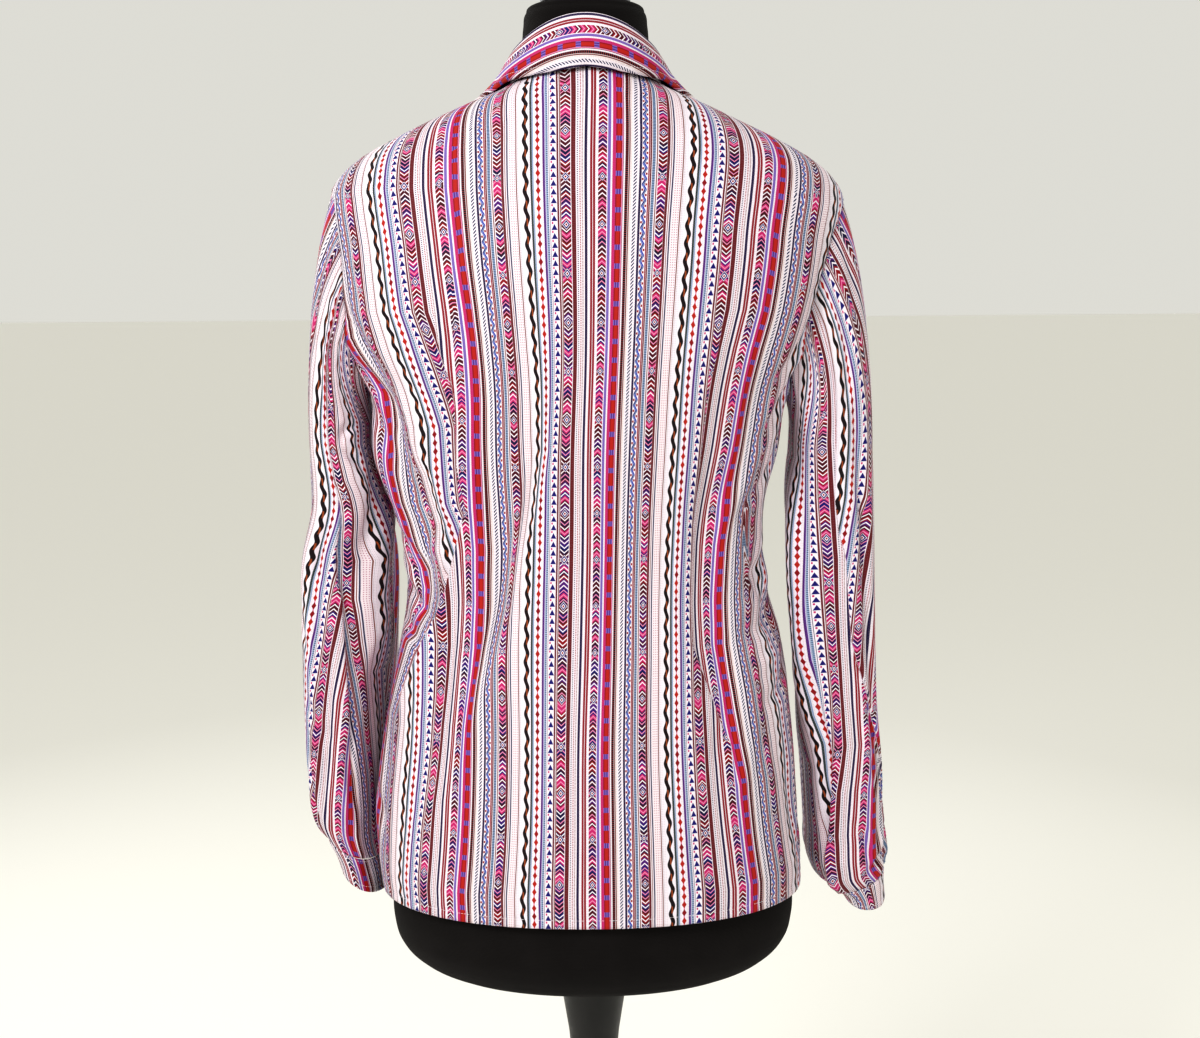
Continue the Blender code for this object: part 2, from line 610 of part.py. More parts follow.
def stand_point(places, share):
    """Point of the collar stand's outside at a share of its height, the way out, and its height.

    The stand leans in, its ends are lower, and its right end lies over the left one."""
    height = stand_height(places) * (1.0 - STAND_DIP * ease((np.abs(places) - 2.0 + COLLAR_OPEN) / STAND_LAP))
    raised = (CLOTH + LAID_GAP) * ease((-1.6 - places) / 0.3)
    point, flat = neck_point(places, SEAM_GAP + (height - SEAM_GAP) * share, raised - STAND_IN * share)
    return point, flat, height


def collar_stand(finish_of):
    """The band round the neck that carries the collar. Gives its button's place."""
    limit = 2.0 - COLLAR_OPEN
    places = np.concatenate([[-2.0 - STAND_LAP, -2.0], np.linspace(-limit, limit, COLLAR_COLUMNS + 1),
                             [2.0, 2.0 + 0.5 * STAND_LAP]])
    outer, inner = [], []
    for share in (0.0, 0.5, 1.0):
        point, flat, _ = stand_point(places, share)
        outer.append(point)
        inner.append(point - flat * CLOTH)
    wall("collar_stand", np.array(outer), np.array(inner), finish_of)
    point, flat, height = stand_point(np.array([-2.0]), 0.5)
    normal = flat[0] * (height[0] - SEAM_GAP) + np.array([0.0, 0.0, STAND_IN])
    return point[0], normal / np.linalg.norm(normal)


def collar(finish_of):
    """The collar: it rises from the stand, turns over and falls to its outer edge."""
    limit = 2.0 - COLLAR_OPEN
    places = np.linspace(-limit, limit, COLLAR_COLUMNS + 1)
    reach = np.abs(places)
    side = np.sign(places)
    read = {name: column(COLLAR_EDGE, COLLAR_NAMES, name, reach) for name in COLLAR_NAMES[1:]}
    edge, _ = body(side * read["edge_place"], read["edge_height"] - lean(places, read["edge_height"]), read["lift"])
    foot, flat = neck_point(places, stand_height(places) + SEAM_GAP, np.full(places.shape, -STAND_IN))
    up = np.array([0.0, 0.0, 1.0])
    centre = foot + flat * (ROLL - CLOTH) + up * 0.001
    path, faces = [], []
    for turn in (180, 135, 90, 45, 10):
        way = flat * math.cos(math.radians(turn)) + up * math.sin(math.radians(turn))
        path.append(centre + way * ROLL)
        faces.append(way)
    path.insert(0, path[0] - up * 0.001)
    faces.insert(0, faces[0])
    start = path[-1]
    control, _ = neck_point(places, np.full(places.shape, 0.006), np.full(places.shape, 0.0120))
    for f in (0.2, 0.4, 0.6, 0.8, 1.0):
        path.append(start * (1 - f) ** 2 + control * 2 * f * (1 - f) + edge * f * f)
        faces.append(None)
    outer = np.array(path)
    down = np.gradient(outer, axis=0)
    along = np.gradient(outer, axis=1)
    normals = np.cross(along, down)
    normals /= np.linalg.norm(normals, axis=-1, keepdims=True)
    normals *= np.sign(np.sum(normals[-1] * flat, axis=-1).mean())
    for r, way in enumerate(faces):
        if way is not None:
            normals[r] = way
    return wall("collar", outer, outer - normals * CLOTH, finish_of)


def front_button_heights():
    """Heights of the buttons down the front."""
    return [TOP_BUTTON + (LOW_BUTTON - TOP_BUTTON) * k / (FRONT_BUTTONS - 1) for k in range(FRONT_BUTTONS)]


def button_band(finish_of):
    """The band over the joint of the fronts, made from the fronts' points moved out."""
    def edge(offset):
        return lambda level: 2.0 + offset / float(section(np.array([1.95]), np.array([level]))[1][0])
    outer, inner = panel(edge(-BAND_LEFT), edge(BAND_RIGHT), BAND_COLUMNS, LAID_GAP + CLOTH, BAND_SHORT)
    return wall("button_band", outer, inner, finish_of)


def button(name, point, normal, finish_of):
    """A dished round button that lies on the cloth, facing along the normal."""
    r = BUTTON_RADIUS
    profile = ((0.0, BUTTON_THICK - BUTTON_DISH), (r - 2 * BUTTON_RIM, BUTTON_THICK - BUTTON_DISH),
               (r - BUTTON_RIM, BUTTON_THICK), (r - 0.4 * BUTTON_RIM, BUTTON_THICK - 0.0002),
               (r, 0.5 * BUTTON_THICK), (r - BUTTON_RIM, 0.0), (0.0, 0.0))
    made = turned(name, profile, finish_of, BUTTON_SIDES)
    made.rotation_mode = "QUATERNION"
    made.rotation_quaternion = Vector([float(v) for v in normal]).to_track_quat("Z", "Y")
    made.location = point + normal * LAID_GAP
    return made


def form_torso(finish_of):
    """The limbless form: a closed loft through its level sections, flat below and above."""
    turns = np.linspace(0.0, math.tau, FORM_COLUMNS, endpoint=False)
    made = bmesh.new()
    rings = []
    for height, half, back, front, square in FORM:
        power = 2.0 / square
        c, s = np.cos(turns), np.sin(turns)
        x = half * np.sign(c) * np.abs(c) ** power
        y = np.where(s > 0, back, front) * np.sign(s) * np.abs(s) ** power
        rings.append([made.verts.new((px, py, height)) for px, py in zip(x, y)])
    for low, high in zip(rings, rings[1:]):
        for c in range(FORM_COLUMNS):
            d = (c + 1) % FORM_COLUMNS
            made.faces.new((low[c], low[d], high[d], high[c]))
    made.faces.new(rings[0][::-1])
    made.faces.new(rings[-1])
    bmesh.ops.recalc_face_normals(made, faces=made.faces)
    mesh = bpy.data.meshes.new("form_torso")
    made.to_mesh(mesh)
    made.free()
    return finish("form_torso", mesh, finish_of)


def button_finish(name):
    """The buttons' pale material."""
    return material(name, (0.75, 0.70, 0.66), 0.3)


def build():
    """Make every piece."""
    cloth = [material("cloth_" + name, (0.62, 0.40, 0.44), 0.6) for name in
             ("back", "front_left", "front_right", "band", "sleeve_left", "sleeve_right", "cuff_left",
              "cuff_right", "stand", "collar")]
    half_gap = 0.5 * SEAM_GAP

    def middle_edge(side):
        def edge(level):
            length = float(section(np.array([1.95]), np.array([min(level, 1.43)]))[1][0])
            return 2.0 * side + (BAND_SEAM - side * half_gap) / length
        return edge

    outer, inner = panel(lambda level: edge_place(1, level, True), lambda level: edge_place(-1, level, True),
                         BACK_COLUMNS)
    wall("back", outer, inner, cloth[0])
    outer, inner = panel(lambda level: edge_place(1, level, False), middle_edge(1), FRONT_COLUMNS)
    wall("front_left", outer, inner, cloth[1])
    outer, inner = panel(lambda level: edge_place(-1, level, False), middle_edge(-1), FRONT_COLUMNS)
    wall("front_right", outer, inner, cloth[2])
    button_band(cloth[3])
    sleeve("sleeve_left", 1, SLEEVE_LEFT, SLEEVE_LEFT_FOLDS, cloth[4])
    sleeve("sleeve_right", -1, SLEEVE_RIGHT, SLEEVE_RIGHT_FOLDS, cloth[5])
    for word, side, table, finish_of in (("left", 1, CUFF_LEFT, cloth[6]), ("right", -1, CUFF_RIGHT, cloth[7])):
        point, normal = cuff("cuff_" + word, side, table, finish_of)
        button("cuff_button_" + word, point, normal, button_finish("cuff_button_" + word))
    point, normal = collar_stand(cloth[8])
    button("collar_button", point, normal, button_finish("collar_button"))
    collar(cloth[9])

    for number, height in enumerate(front_button_heights(), 1):
        point, normal = body(np.array([2.0]), height, LAID_GAP + CLOTH)
        button(f"button_{number}", point[0], normal[0], button_finish(f"button_{number}"))

    form_torso(material("form_cover", (0.012, 0.010, 0.009), 0.7))
    turned("form_neck_cap", ((0.0, CAP_TOP), (CAP_RADIUS - CAP_EDGE, CAP_TOP),
                             (CAP_RADIUS - 0.3 * CAP_EDGE, CAP_TOP - 0.3 * CAP_EDGE),
                             (CAP_RADIUS, CAP_TOP - CAP_EDGE), (CAP_RADIUS, CAP_BASE), (0.0, CAP_BASE)),
           material("neck_cap", (0.012, 0.010, 0.009), 0.4), STAND_SIDES)
    turned("stand_socket", ((0.0, SOCKET_TOP), (SOCKET_TOP_RADIUS, SOCKET_TOP),
                            (0.0288, 0.7040), (0.0222, 0.6620), (0.0196, 0.6350), (0.0185, 0.6050),
                            (COLLAR_RING, 0.6000), (COLLAR_RING, 0.5920), (SOCKET_LOW_RADIUS, 0.5880),
                            (SOCKET_LOW_RADIUS, SOCKET_LOW), (0.0, SOCKET_LOW)),
           material("socket", (0.012, 0.010, 0.009), 0.35), STAND_SIDES)
    turned("stand_pole", ((0.0, SOCKET_LOW - FIT_GAP), (POLE_RADIUS, SOCKET_LOW - FIT_GAP),
                          (POLE_RADIUS, POLE_LOW), (0.0, POLE_LOW)),
           material("pole", (0.012, 0.010, 0.009), 0.35), STAND_SIDES)
    turned("stand_base", ((0.0, HUB_TOP), (0.020, HUB_TOP), (HUB_RADIUS, 0.024), (HUB_RADIUS + 0.004, 0.013),
                          (0.060, BASE_THICK + 0.001), (BASE_RADIUS - 0.003, BASE_THICK),
                          (BASE_RADIUS, BASE_THICK - 0.003), (BASE_RADIUS, 0.0), (0.0, 0.0)),
           material("base", (0.012, 0.010, 0.009), 0.45), BASE_SIDES)


for thing in list(bpy.data.objects):
    bpy.data.objects.remove(thing, do_unlink=True)
PIECES = collection("blouse_on_dress_form")
build()
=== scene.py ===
# %% [markdown]
# # A folk-striped blouse on a dress form
# The object is a long-sleeved blouse seen from behind, on a black dress form without limbs. This file
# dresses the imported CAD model: every cloth piece is made again as a thin shell on the same surface, with
# finer folds, its print and its sewing. Lengths are in metres, +Z is up and the blouse faces -Y.
# %% The frame
import json
import math

import bpy
import numpy as np
from mathutils import Euler, Matrix, Vector

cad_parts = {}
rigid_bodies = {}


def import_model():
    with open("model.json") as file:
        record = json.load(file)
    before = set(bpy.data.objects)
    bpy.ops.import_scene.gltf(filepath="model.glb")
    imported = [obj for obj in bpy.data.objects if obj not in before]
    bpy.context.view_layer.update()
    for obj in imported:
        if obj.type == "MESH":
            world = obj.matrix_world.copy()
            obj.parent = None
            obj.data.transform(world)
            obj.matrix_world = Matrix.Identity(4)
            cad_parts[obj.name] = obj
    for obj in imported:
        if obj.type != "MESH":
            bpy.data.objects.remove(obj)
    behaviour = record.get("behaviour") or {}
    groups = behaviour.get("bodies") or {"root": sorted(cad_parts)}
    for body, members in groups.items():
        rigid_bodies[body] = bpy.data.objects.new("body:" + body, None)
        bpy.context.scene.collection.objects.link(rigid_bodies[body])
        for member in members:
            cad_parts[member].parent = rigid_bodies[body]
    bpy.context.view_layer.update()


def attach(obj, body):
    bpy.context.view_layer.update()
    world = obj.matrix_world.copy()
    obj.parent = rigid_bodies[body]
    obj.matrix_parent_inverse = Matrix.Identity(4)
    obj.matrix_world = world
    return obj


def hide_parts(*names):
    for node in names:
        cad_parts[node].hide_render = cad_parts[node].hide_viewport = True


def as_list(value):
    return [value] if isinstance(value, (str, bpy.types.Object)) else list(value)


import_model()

# %% [markdown]
# The camera stands about 1.25 m behind the form, at chest height, and looks a little down. A lens of
# 45 mm matches the perspective of the shoulders against the hem. It could be aimed by eye, but here its
# place was worked out from the form's neck, the collar and the hem.
# %% The camera
camera_data = bpy.data.cameras.new("camera")
camera_data.lens = 45.0
camera_data.sensor_width = 36.0
camera_data.clip_end = 500.0
camera = bpy.data.objects.new("camera", camera_data)
bpy.context.scene.collection.objects.link(camera)
aim = Euler((math.radians(82.0), 0.0, math.radians(180.0))).to_matrix() @ Matrix.Rotation(math.radians(-0.45), 3, "Z")
camera.matrix_world = Matrix.Translation((-0.0087, 1.2526, 1.292)) @ aim.to_4x4()
bpy.context.scene.camera = camera
bpy.context.scene.view_settings.view_transform = "Standard"
bpy.context.scene.view_settings.look = "High Contrast"
print("camera at", tuple(round(v, 3) for v in camera.location))

# %% [markdown]
# The room is a plain pale floor under a pale sky, so the cloth gets soft light from everywhere. One large
# soft lamp behind the camera's left shoulder models the folds, a weaker one fills the right side, and two
# more in front keep the hidden side readable.
# %% Floor, sky and lamps
def colour(red, green, blue):
    """A colour given as 0 to 255 on a screen, as the linear values that a shader wants."""
    def linear(value):
        value /= 255.0
        return value / 12.92 if value <= 0.04045 else ((value + 0.055) / 1.055) ** 2.4
    return (linear(red), linear(green), linear(blue), 1.0)


sky = bpy.data.worlds.new("pale_room")
bpy.context.scene.world = sky
sky.use_nodes = True
light = sky.node_tree.nodes["Background"].inputs
light["Color"].default_value, light["Strength"].default_value = colour(252, 251, 244), 0.55

FLOOR_REACH = 200.0     # metres, so that the floor's edge is the horizon
floor_mesh = bpy.data.meshes.new("floor")
floor_mesh.from_pydata([(x * FLOOR_REACH, y * FLOOR_REACH, 0) for x, y in ((-1, -1), (1, -1), (1, 1), (-1, 1))], [],
                       [(0, 1, 2, 3)])
floor = bpy.data.objects.new("floor", floor_mesh)
bpy.context.scene.collection.objects.link(floor)
floor.location.z = -0.0005
floor_paint = bpy.data.materials.new("floor_paint")
floor_paint.use_nodes = True
for label, value in (("Base Color", colour(250, 249, 244)), ("Roughness", 0.95), ("Specular IOR Level", 0.1)):
    floor_paint.node_tree.nodes["Principled BSDF"].inputs[label].default_value = value
floor_mesh.materials.append(floor_paint)


def lamp(name, place, target, size, power):
    """A square soft lamp that looks at a point."""
    data = bpy.data.lights.new(name, "AREA")
    data.size = size
    data.energy = power
    made = bpy.data.objects.new(name, data)
    bpy.context.scene.collection.objects.link(made)
    made.location = place
    made.rotation_euler = (Vector(target) - Vector(place)).to_track_quat("-Z", "Y").to_euler()


lamp("window", (1.3, 2.0, 2.6), (0.0, 0.0, 1.15), 0.7, 35.0)
lamp("fill", (-1.9, 1.8, 1.6), (0.0, 0.0, 1.1), 1.4, 4.0)
lamp("front_left", (1.6, -2.1, 2.2), (0.0, 0.0, 1.15), 1.4, 11.0)
lamp("front_right", (-1.8, -1.9, 1.8), (0.0, 0.0, 1.1), 1.4, 6.0)

# %% [markdown]
# ## Finishes
# The print is a common kind of folk stripe: plain lines between woven-looking bands of chevrons, diamonds,
# triangles, leaves, blocks and a braid. It could be painted as a picture. Here it is drawn by nodes from a
# chart in millimetres, because a chart stays sharp close up and can be bent with the cloth. The chart
# repeats every 126 mm, and 0 is its dark blue line.
# %% Short ways to add nodes
class Value:
    """The output of a shader node. Reckoning with it, as with a number, adds more nodes."""

    def __init__(self, wires, socket):
        self.wires, self.socket = wires, socket

    def math(self, operation, other=0.0):
        return self.wires.math(operation, self, other)

    def __add__(self, other):
        return self.math("ADD", other)

    def __sub__(self, other):
        return self.math("SUBTRACT", other)

    def __rsub__(self, other):
        return self.wires.math("SUBTRACT", other, self)

    def __mul__(self, other):
        return self.math("MULTIPLY", other)

    def __truediv__(self, other):
        return self.math("DIVIDE", other)

    def __abs__(self):
        return self.math("ABSOLUTE")

    def parts(self):
        """The X, Y and Z of a vector."""
        made = self.wires.node("ShaderNodeSeparateXYZ", (self,))
        return [Value(self.wires, socket) for socket in made.outputs]

    def step(self, low, high):
        """0 below low, 1 above high, smooth between."""
        made = self.wires.node("ShaderNodeMapRange", (self, low, high, 0.0, 1.0), interpolation_type="SMOOTHSTEP")
        return self.wires.out(made)

    def near(self, half, soft=0.12):
        """1 where the value is within half of nought."""
        return abs(self).step(half + soft, half - soft)

    def mix(self, below, above):
        """A colour between two, with this value as the share of the second."""
        return self.wires.mix(self, below, above)

    def ramp(self, stops):
        """A colour read from stops of (place, dye)."""
        made = self.wires.node("ShaderNodeValToRGB", (self,))
        made.color_ramp.interpolation = "CONSTANT"
        elements = made.color_ramp.elements
        elements.remove(elements[-1])
        (elements[0].position, first), *others = sorted(stops, key=lambda stop: stop[0])
        elements[0].color = DYES[first]
        for place, dye in others:
            elements.new(place).color = DYES[dye]
        return self.wires.out(made)

    def chance(self, seed=0.0):
        """A value from 0 to 1 that is different for each whole number."""
        made = self.wires.node("ShaderNodeTexWhiteNoise", {"W": self.math("FLOOR") + seed}, noise_dimensions="1D")
        return self.wires.out(made, "Value")


class Wiring:
    """Adds nodes to one node tree. An input may be a number, a colour, the name of a dye or a Value."""

    def __init__(self, tree):
        self.tree = tree

    def put(self, socket, value):
        if isinstance(value, Value):
            self.tree.links.new(value.socket, socket)
        else:
            socket.default_value = DYES[value] if isinstance(value, str) else value

    def node(self, kind, inputs=(), **settings):
        made = self.tree.nodes.new(kind)
        for name, value in settings.items():
            setattr(made, name, value)
        for place, value in inputs.items() if isinstance(inputs, dict) else enumerate(inputs):
            self.put(made.inputs[place], value)
        return made

    def out(self, made, which=0):
        return Value(self, made.outputs[which])

    def outs(self, made):
        """All the outputs of a node by their names."""
        return {socket.name: Value(self, socket) for socket in made.outputs}

    def math(self, operation, a, b=0.0, c=0.0):
        return self.out(self.node("ShaderNodeMath", (a, b, c), operation=operation))

    def mix(self, share, below, above):
        return self.out(self.node("ShaderNodeMix", {0: share, 6: below, 7: above}, data_type="RGBA"), 2)

    def here(self):
        """The object's own coordinates."""
        return self.out(self.node("ShaderNodeTexCoord"), "Object")

    def noise(self, scale, detail=2.0, vector=None, **settings):
        place = {} if vector is None else {"Vector": vector}
        return self.out(self.node("ShaderNodeTexNoise", {"Scale": scale, "Detail": detail, **place}, **settings), "Fac")


def group(name, inputs, outputs):
    """A shader node group. A socket is a colour if its default is one or its name is Color, else a number."""
    tree = bpy.data.node_groups.new(name, "ShaderNodeTree")
    for label, value in inputs.items():
        kind = "NodeSocketColor" if isinstance(value, tuple) else "NodeSocketFloat"
        tree.interface.new_socket(name=label, in_out="INPUT", socket_type=kind).default_value = value
    for label in outputs:
        kind = "NodeSocketColor" if label == "Color" else "NodeSocketFloat"
        tree.interface.new_socket(name=label, in_out="OUTPUT", socket_type=kind)
    wires = Wiring(tree)
    return wires, wires.outs(tree.nodes.new("NodeGroupInput")), tree.nodes.new("NodeGroupOutput").inputs


print("node helpers ready")

# %% The chart of the print
REPEAT = 126.0
DYES = {
    "ground": colour(234, 226, 234), "cream": colour(226, 212, 208), "tan": colour(128, 82, 70),
    "brown": colour(104, 22, 22), "rose": colour(150, 52, 58), "navy": colour(14, 10, 66),
    "red": colour(140, 12, 24), "scarlet": colour(178, 38, 24), "pink": colour(190, 40, 112),
    "blush": colour(220, 138, 172), "lilac": colour(124, 104, 178), "sky": colour(140, 162, 192),
    "black": colour(20, 6, 10), "copper": colour(150, 74, 30), "blue": colour(44, 50, 168),
    "maroon": colour(80, 4, 28), "purple": colour(84, 22, 118), "green": colour(30, 58, 56),
    "slate": colour(46, 54, 86), "wine": colour(66, 4, 14), "indigo": colour(24, 18, 112),
}
# Plain lines: middle, width and dye
LINES = (
    (-51.4, 1.1, "green"), (-41.9, 1.1, "green"), (-40.5, 0.7, "sky"), (-32.1, 1.2, "purple"),
    (-31.0, 0.7, "lilac"), (-29.6, 1.7, "sky"), (-27.8, 0.5, "slate"), (-21.5, 0.9, "brown"), (-19.8, 0.6, "tan"),
    (-9.5, 2.3, "brown"), (-7.7, 0.4, "brown"), (0.0, 1.4, "navy"), (4.1, 1.1, "red"),
    (6.3, 1.2, "red"), (17.5, 1.5, "lilac"), (21.3, 1.9, "pink"), (27.6, 0.8, "blush"), (28.7, 1.3, "wine"),
    (32.6, 0.8, "tan"), (33.9, 0.6, "cream"), (41.0, 1.1, "navy"), (47.2, 0.7, "rose"), (48.5, 0.8, "brown"),
    (53.0, 0.6, "tan"), (61.5, 1.2, "brown"), (63.6, 0.5, "tan"), (65.3, 0.6, "slate"), (72.4, 0.6, "tan"),
)
print("plain lines in the chart:", len(LINES))


# %% The bands of the print
def chevrons(across, along, half, seed, turns):
    """A band of nested arrows with an eye every 37 mm. The arrows may turn over at each eye."""
    section = along / 37.0
    flip = abs(section.math("FLOOR")).math("MODULO", 2.0) * 2.0 - 1.0 if turns else 1.0
    side = abs(across)
    stroke = (along + side * 0.85 * flip) / 3.7
    tone = stroke.chance(seed)
    dark = tone.ramp([(0.0, "maroon"), (0.2, "pink"), (0.38, "navy"), (0.54, "red"), (0.66, "purple"),
                      (0.78, "indigo"), (0.86, "pink"), (0.93, "wine")])
    pale = tone.ramp([(0.0, "ground"), (0.3, "blush"), (0.48, "ground"), (0.8, "blush")])
    arrows = stroke.math("PINGPONG", 0.5).step(0.33, 0.37).mix(dark, pale)
    eye = side + (0.5 - abs(section.math("FRACT") - 0.5)) * 37.0 * 0.85
    rings = (eye / half).ramp([(0.0, "red"), (0.24, "ground"), (0.46, "indigo"), (0.76, "ground"), (0.9, "maroon")])
    return eye.step(half + 0.1, half - 0.1).mix(arrows, rings)


def diamonds(across, along, half):
    """A chain of red diamonds with small pink links."""
    chain = along / 6.8
    side = abs(across) / half
    tone = chain.chance(3.0).step(0.4, 0.6).mix("red", "scarlet")
    whole = side + abs(chain.math("FRACT") - 0.5) * 2.15
    return whole.step(1.04, 0.94).mix(side.step(0.34, 0.22).mix("ground", "blush"), tone)


def triangles(across, along, half):
    """Dark blue triangles, one over the other, with pink specks at their left."""
    part = (along / 6.8).math("FRACT")
    edge = (0.7 - part) * (half / 0.7)
    shape = (abs(across - 0.3) - edge).step(0.12, -0.12) * part.step(0.0, 0.05)
    speck = (across + 1.1).near(0.6) * part.step(0.66, 0.72) * part.step(0.96, 0.9)
    return shape.mix(speck.mix("ground", "pink"), "indigo")


def braid(across, along, half):
    """A dark wavy braid with copper lights."""
    turn = along * (math.tau / 13.6)
    strand = (across - turn.math("SINE") * (0.36 * half)).near(0.62 * half)
    cosine = turn.math("COSINE")
    light = (across - cosine * (0.12 * half)).near(0.24 * half) * cosine.step(0.0, 0.45)
    return strand.mix("ground", light.mix("black", "copper"))


def blocks(across, along, half):
    """Red blocks between small squares in lilac and blue."""
    square = (along / 14.2).math("FRACT").step(0.7, 0.73)
    bars = (abs(across) - 0.42 * half).near(0.16 * half, 0.08)
    spots = across.near(0.2 * half) * (along / 2.03).math("FRACT").step(0.6, 0.7)
    red = spots.mix(abs(across).step(0.5 * half, 0.75 * half).mix("scarlet", "red"), "scarlet")
    return square.mix(red, bars.mix("lilac", "purple"))


def leaves(across, along, half):
    """A ribbon of blue leaves that winds between red berries."""
    turn = along * (math.tau / 8.4)
    sine, cosine = turn.math("SINE"), turn.math("COSINE")
    wave = sine * (0.42 * half)
    aside = across - wave
    vein = (aside - cosine * (0.2 * half)).near(0.14 * half)
    leaf = vein.mix(cosine.step(-0.2, 0.2).mix("blue", "indigo"), "sky")
    berry = (across + wave * 1.7).near(0.34 * half) * abs(sine).step(0.72, 0.86)
    return berry.mix(aside.near(0.5 * half).mix("ground", leaf), "red")


def ladder(across, along, period, rung, ground, cut=0.4, slant=0.0):
    """A line cut by small rungs. A slant turns the rungs into dashes."""
    run = along + across * slant if slant else along
    return (run / period).math("FRACT").step(cut + 0.04, cut - 0.04).mix(ground, rung)


def dots(across, along):
    """A pale ground with rose dots."""
    mask = (along * 3.3).math("SINE").step(0.0, 0.5) * (across * 3.6).math("SINE").step(0.0, 0.5)
    return mask.mix(colour(234, 222, 227), colour(186, 134, 154))


print("band helpers ready")

# %% The print as one node group
SPREAD = 1.48           # the dye runs a little past a line's width in the chart
LAST = 73.8             # where the chart ends
SPLITS = (LAST - REPEAT, -24.0, 19.4, LAST)     # a colour ramp holds no more than a third of the lines


def line_stops(low, high):
    """The chart's plain lines between two places, as stops of a colour ramp."""
    stops = [(0.0, "ground")]
    for middle, width, dye in LINES:
        if low < middle < high:
            half = 0.5 * SPREAD * width
            for place, tone in ((middle - half, dye), (middle + half, "ground")):
                share = (place - low) / (high - low)
                stops = [stop for stop in stops if abs(stop[0] - share) > 1e-4] + [(share, tone)]
    return stops


wires, given, result = group("folk_bands", {"Across": 0.0, "Along": 0.0}, ("Color",))
u = wires.math("WRAP", given["Across"], LAST, LAST - REPEAT)
v = given["Along"]
shown = None
for low, high in zip(SPLITS, SPLITS[1:]):
    part = ((u - low) / (high - low)).ramp(line_stops(low, high))
    shown = part if shown is None else u.math("GREATER_THAN", low).mix(shown, part)

# The plain ground carries rows of fine picks
picks = (v * (math.tau / 1.35)).math("SINE").step(0.1, 0.5) * (u * (math.tau / 1.2)).math("SINE").step(-0.1, 0.4)
shown = (picks * 0.42).mix(shown, colour(150, 118, 140))

# Bands: middle, half width, what fills them and its measures
BANDS = (
    (-46.3, 2.9, braid, 2.6), (-36.7, 1.9, diamonds, 1.9), (-29.6, 0.7, ladder, 1.7, "slate", "sky", 0.3),
    (-25.1, 2.6, triangles, 2.5), (-15.4, 3.7, chevrons, 3.7, 11.0, True),
    (-6.3, 0.45, ladder, 1.5, "slate", "ground", 0.5), (-4.4, 0.5, ladder, 1.3, "rose", "ground", 0.55),
    (-2.6, 0.45, ladder, 1.1, "tan", "ground", 0.55), (12.6, 3.2, chevrons, 3.2, 37.0, False),
    (24.8, 2.3, blocks, 2.3), (30.7, 1.15, ladder, 1.65, "rose", "black", 0.3),
    (37.2, 1.2, ladder, 2.7, "slate", "ground", 0.5, -1.1), (44.3, 2.1, leaves, 2.1),
    (50.8, 1.1, ladder, 1.3, "slate", "sky", 0.4), (57.4, 3.1, chevrons, 3.1, 71.0, True), (69.0, 2.6, dots),
)
for middle, half, fill, *measures in BANDS:
    across = u - middle
    shown = across.near(half, 0.08).mix(shown, fill(across, v, *measures))
wires.put(result["Color"], shown)
print("nodes in the print:", len(wires.tree.nodes))

# %% [markdown]
# Where the cloth folds over itself, part of the print is hidden. A picture stretched over a mesh would
# smear there. Instead each cloth piece carries the distance to its fold lips and the width of cloth that
# each lip hides, and the print jumps by that width exactly at the lip.
# %% Print coordinates with folds
wires, given, result = group("print_place", {}, ("Across", "Along"))
far, hidden = (wires.out(wires.node("ShaderNodeAttribute", attribute_name=name), "Vector").parts()
               for name in ("lip_distance", "lip_take"))
chart = wires.out(wires.node("ShaderNodeUVMap", uv_map="UVMap")).parts()
place = chart[0] * 1000.0
for past, take in zip(far, hidden):
    place = place + past.step(-0.0002, 0.0002) * take * 1000.0
wires.put(result["Across"], place)
wires.put(result["Along"], chart[1] * 1000.0)
print("laps that a piece can have:", len(far))

# %% [markdown]
# The cloth is a light, smooth plain weave. The weave group gives a fine height for a bump and a slight
# change of tone from thread to thread, for the printed face and its paler reverse.
# %% The weave and the uneven tone
wires, given, result = group("plain_weave", {"Threads": 4.0}, ("Height", "Tone"))
chart = wires.out(wires.node("ShaderNodeUVMap", uv_map="UVMap"))
warp, weft = ((part * (1000.0 * math.pi) * given["Threads"]).math("SINE") for part in chart.parts()[:2])
wires.put(result["Height"], warp * weft * 0.5)
wires.put(result["Tone"], wires.noise(420.0, 3.0, chart, noise_dimensions="2D") * 0.5 + 0.25)


def grouped(wires, name, **values):
    """Put a node group into a material, give its inputs their values and give its outputs."""
    return wires.outs(wires.node("ShaderNodeGroup", values, node_tree=bpy.data.node_groups[name]))


def finish_of(name, roughness, sheen=0.0, specular=0.5):
    """A new material, its wiring and the inputs of its shader."""
    made = bpy.data.materials.new(name)
    made.use_nodes = True
    shader = made.node_tree.nodes["Principled BSDF"].inputs
    for label, value in (("Roughness", roughness), ("Sheen Weight", sheen), ("Specular IOR Level", specular)):
        shader[label].default_value = value
    return made, Wiring(made.node_tree), shader


def bump(wires, shader, height, distance, strength=1.0):
    """A bump that changes only how the light falls."""
    made = wires.node("ShaderNodeBump", {"Distance": distance, "Strength": strength, "Height": height})
    wires.put(shader["Normal"], wires.out(made))


def printed(name, fade):
    """The printed cloth. The fade is the share of white on its reverse."""
    made, wires, shader = finish_of(name, 0.62, sheen=0.02, specular=0.22)
    dyes = grouped(wires, "folk_bands", **grouped(wires, "print_place"))["Color"]
    weave = grouped(wires, "plain_weave", Threads=3.6)
    tone = (weave["Tone"] * 0.03).mix(dyes, colour(206, 190, 204))
    wires.put(shader["Base Color"], wires.mix(fade, tone, colour(230, 224, 228)) if fade else tone)
    bump(wires, shader, weave["Height"] * 0.03 + wires.noise(46.0, vector=wires.here()), 0.0012)
    return made


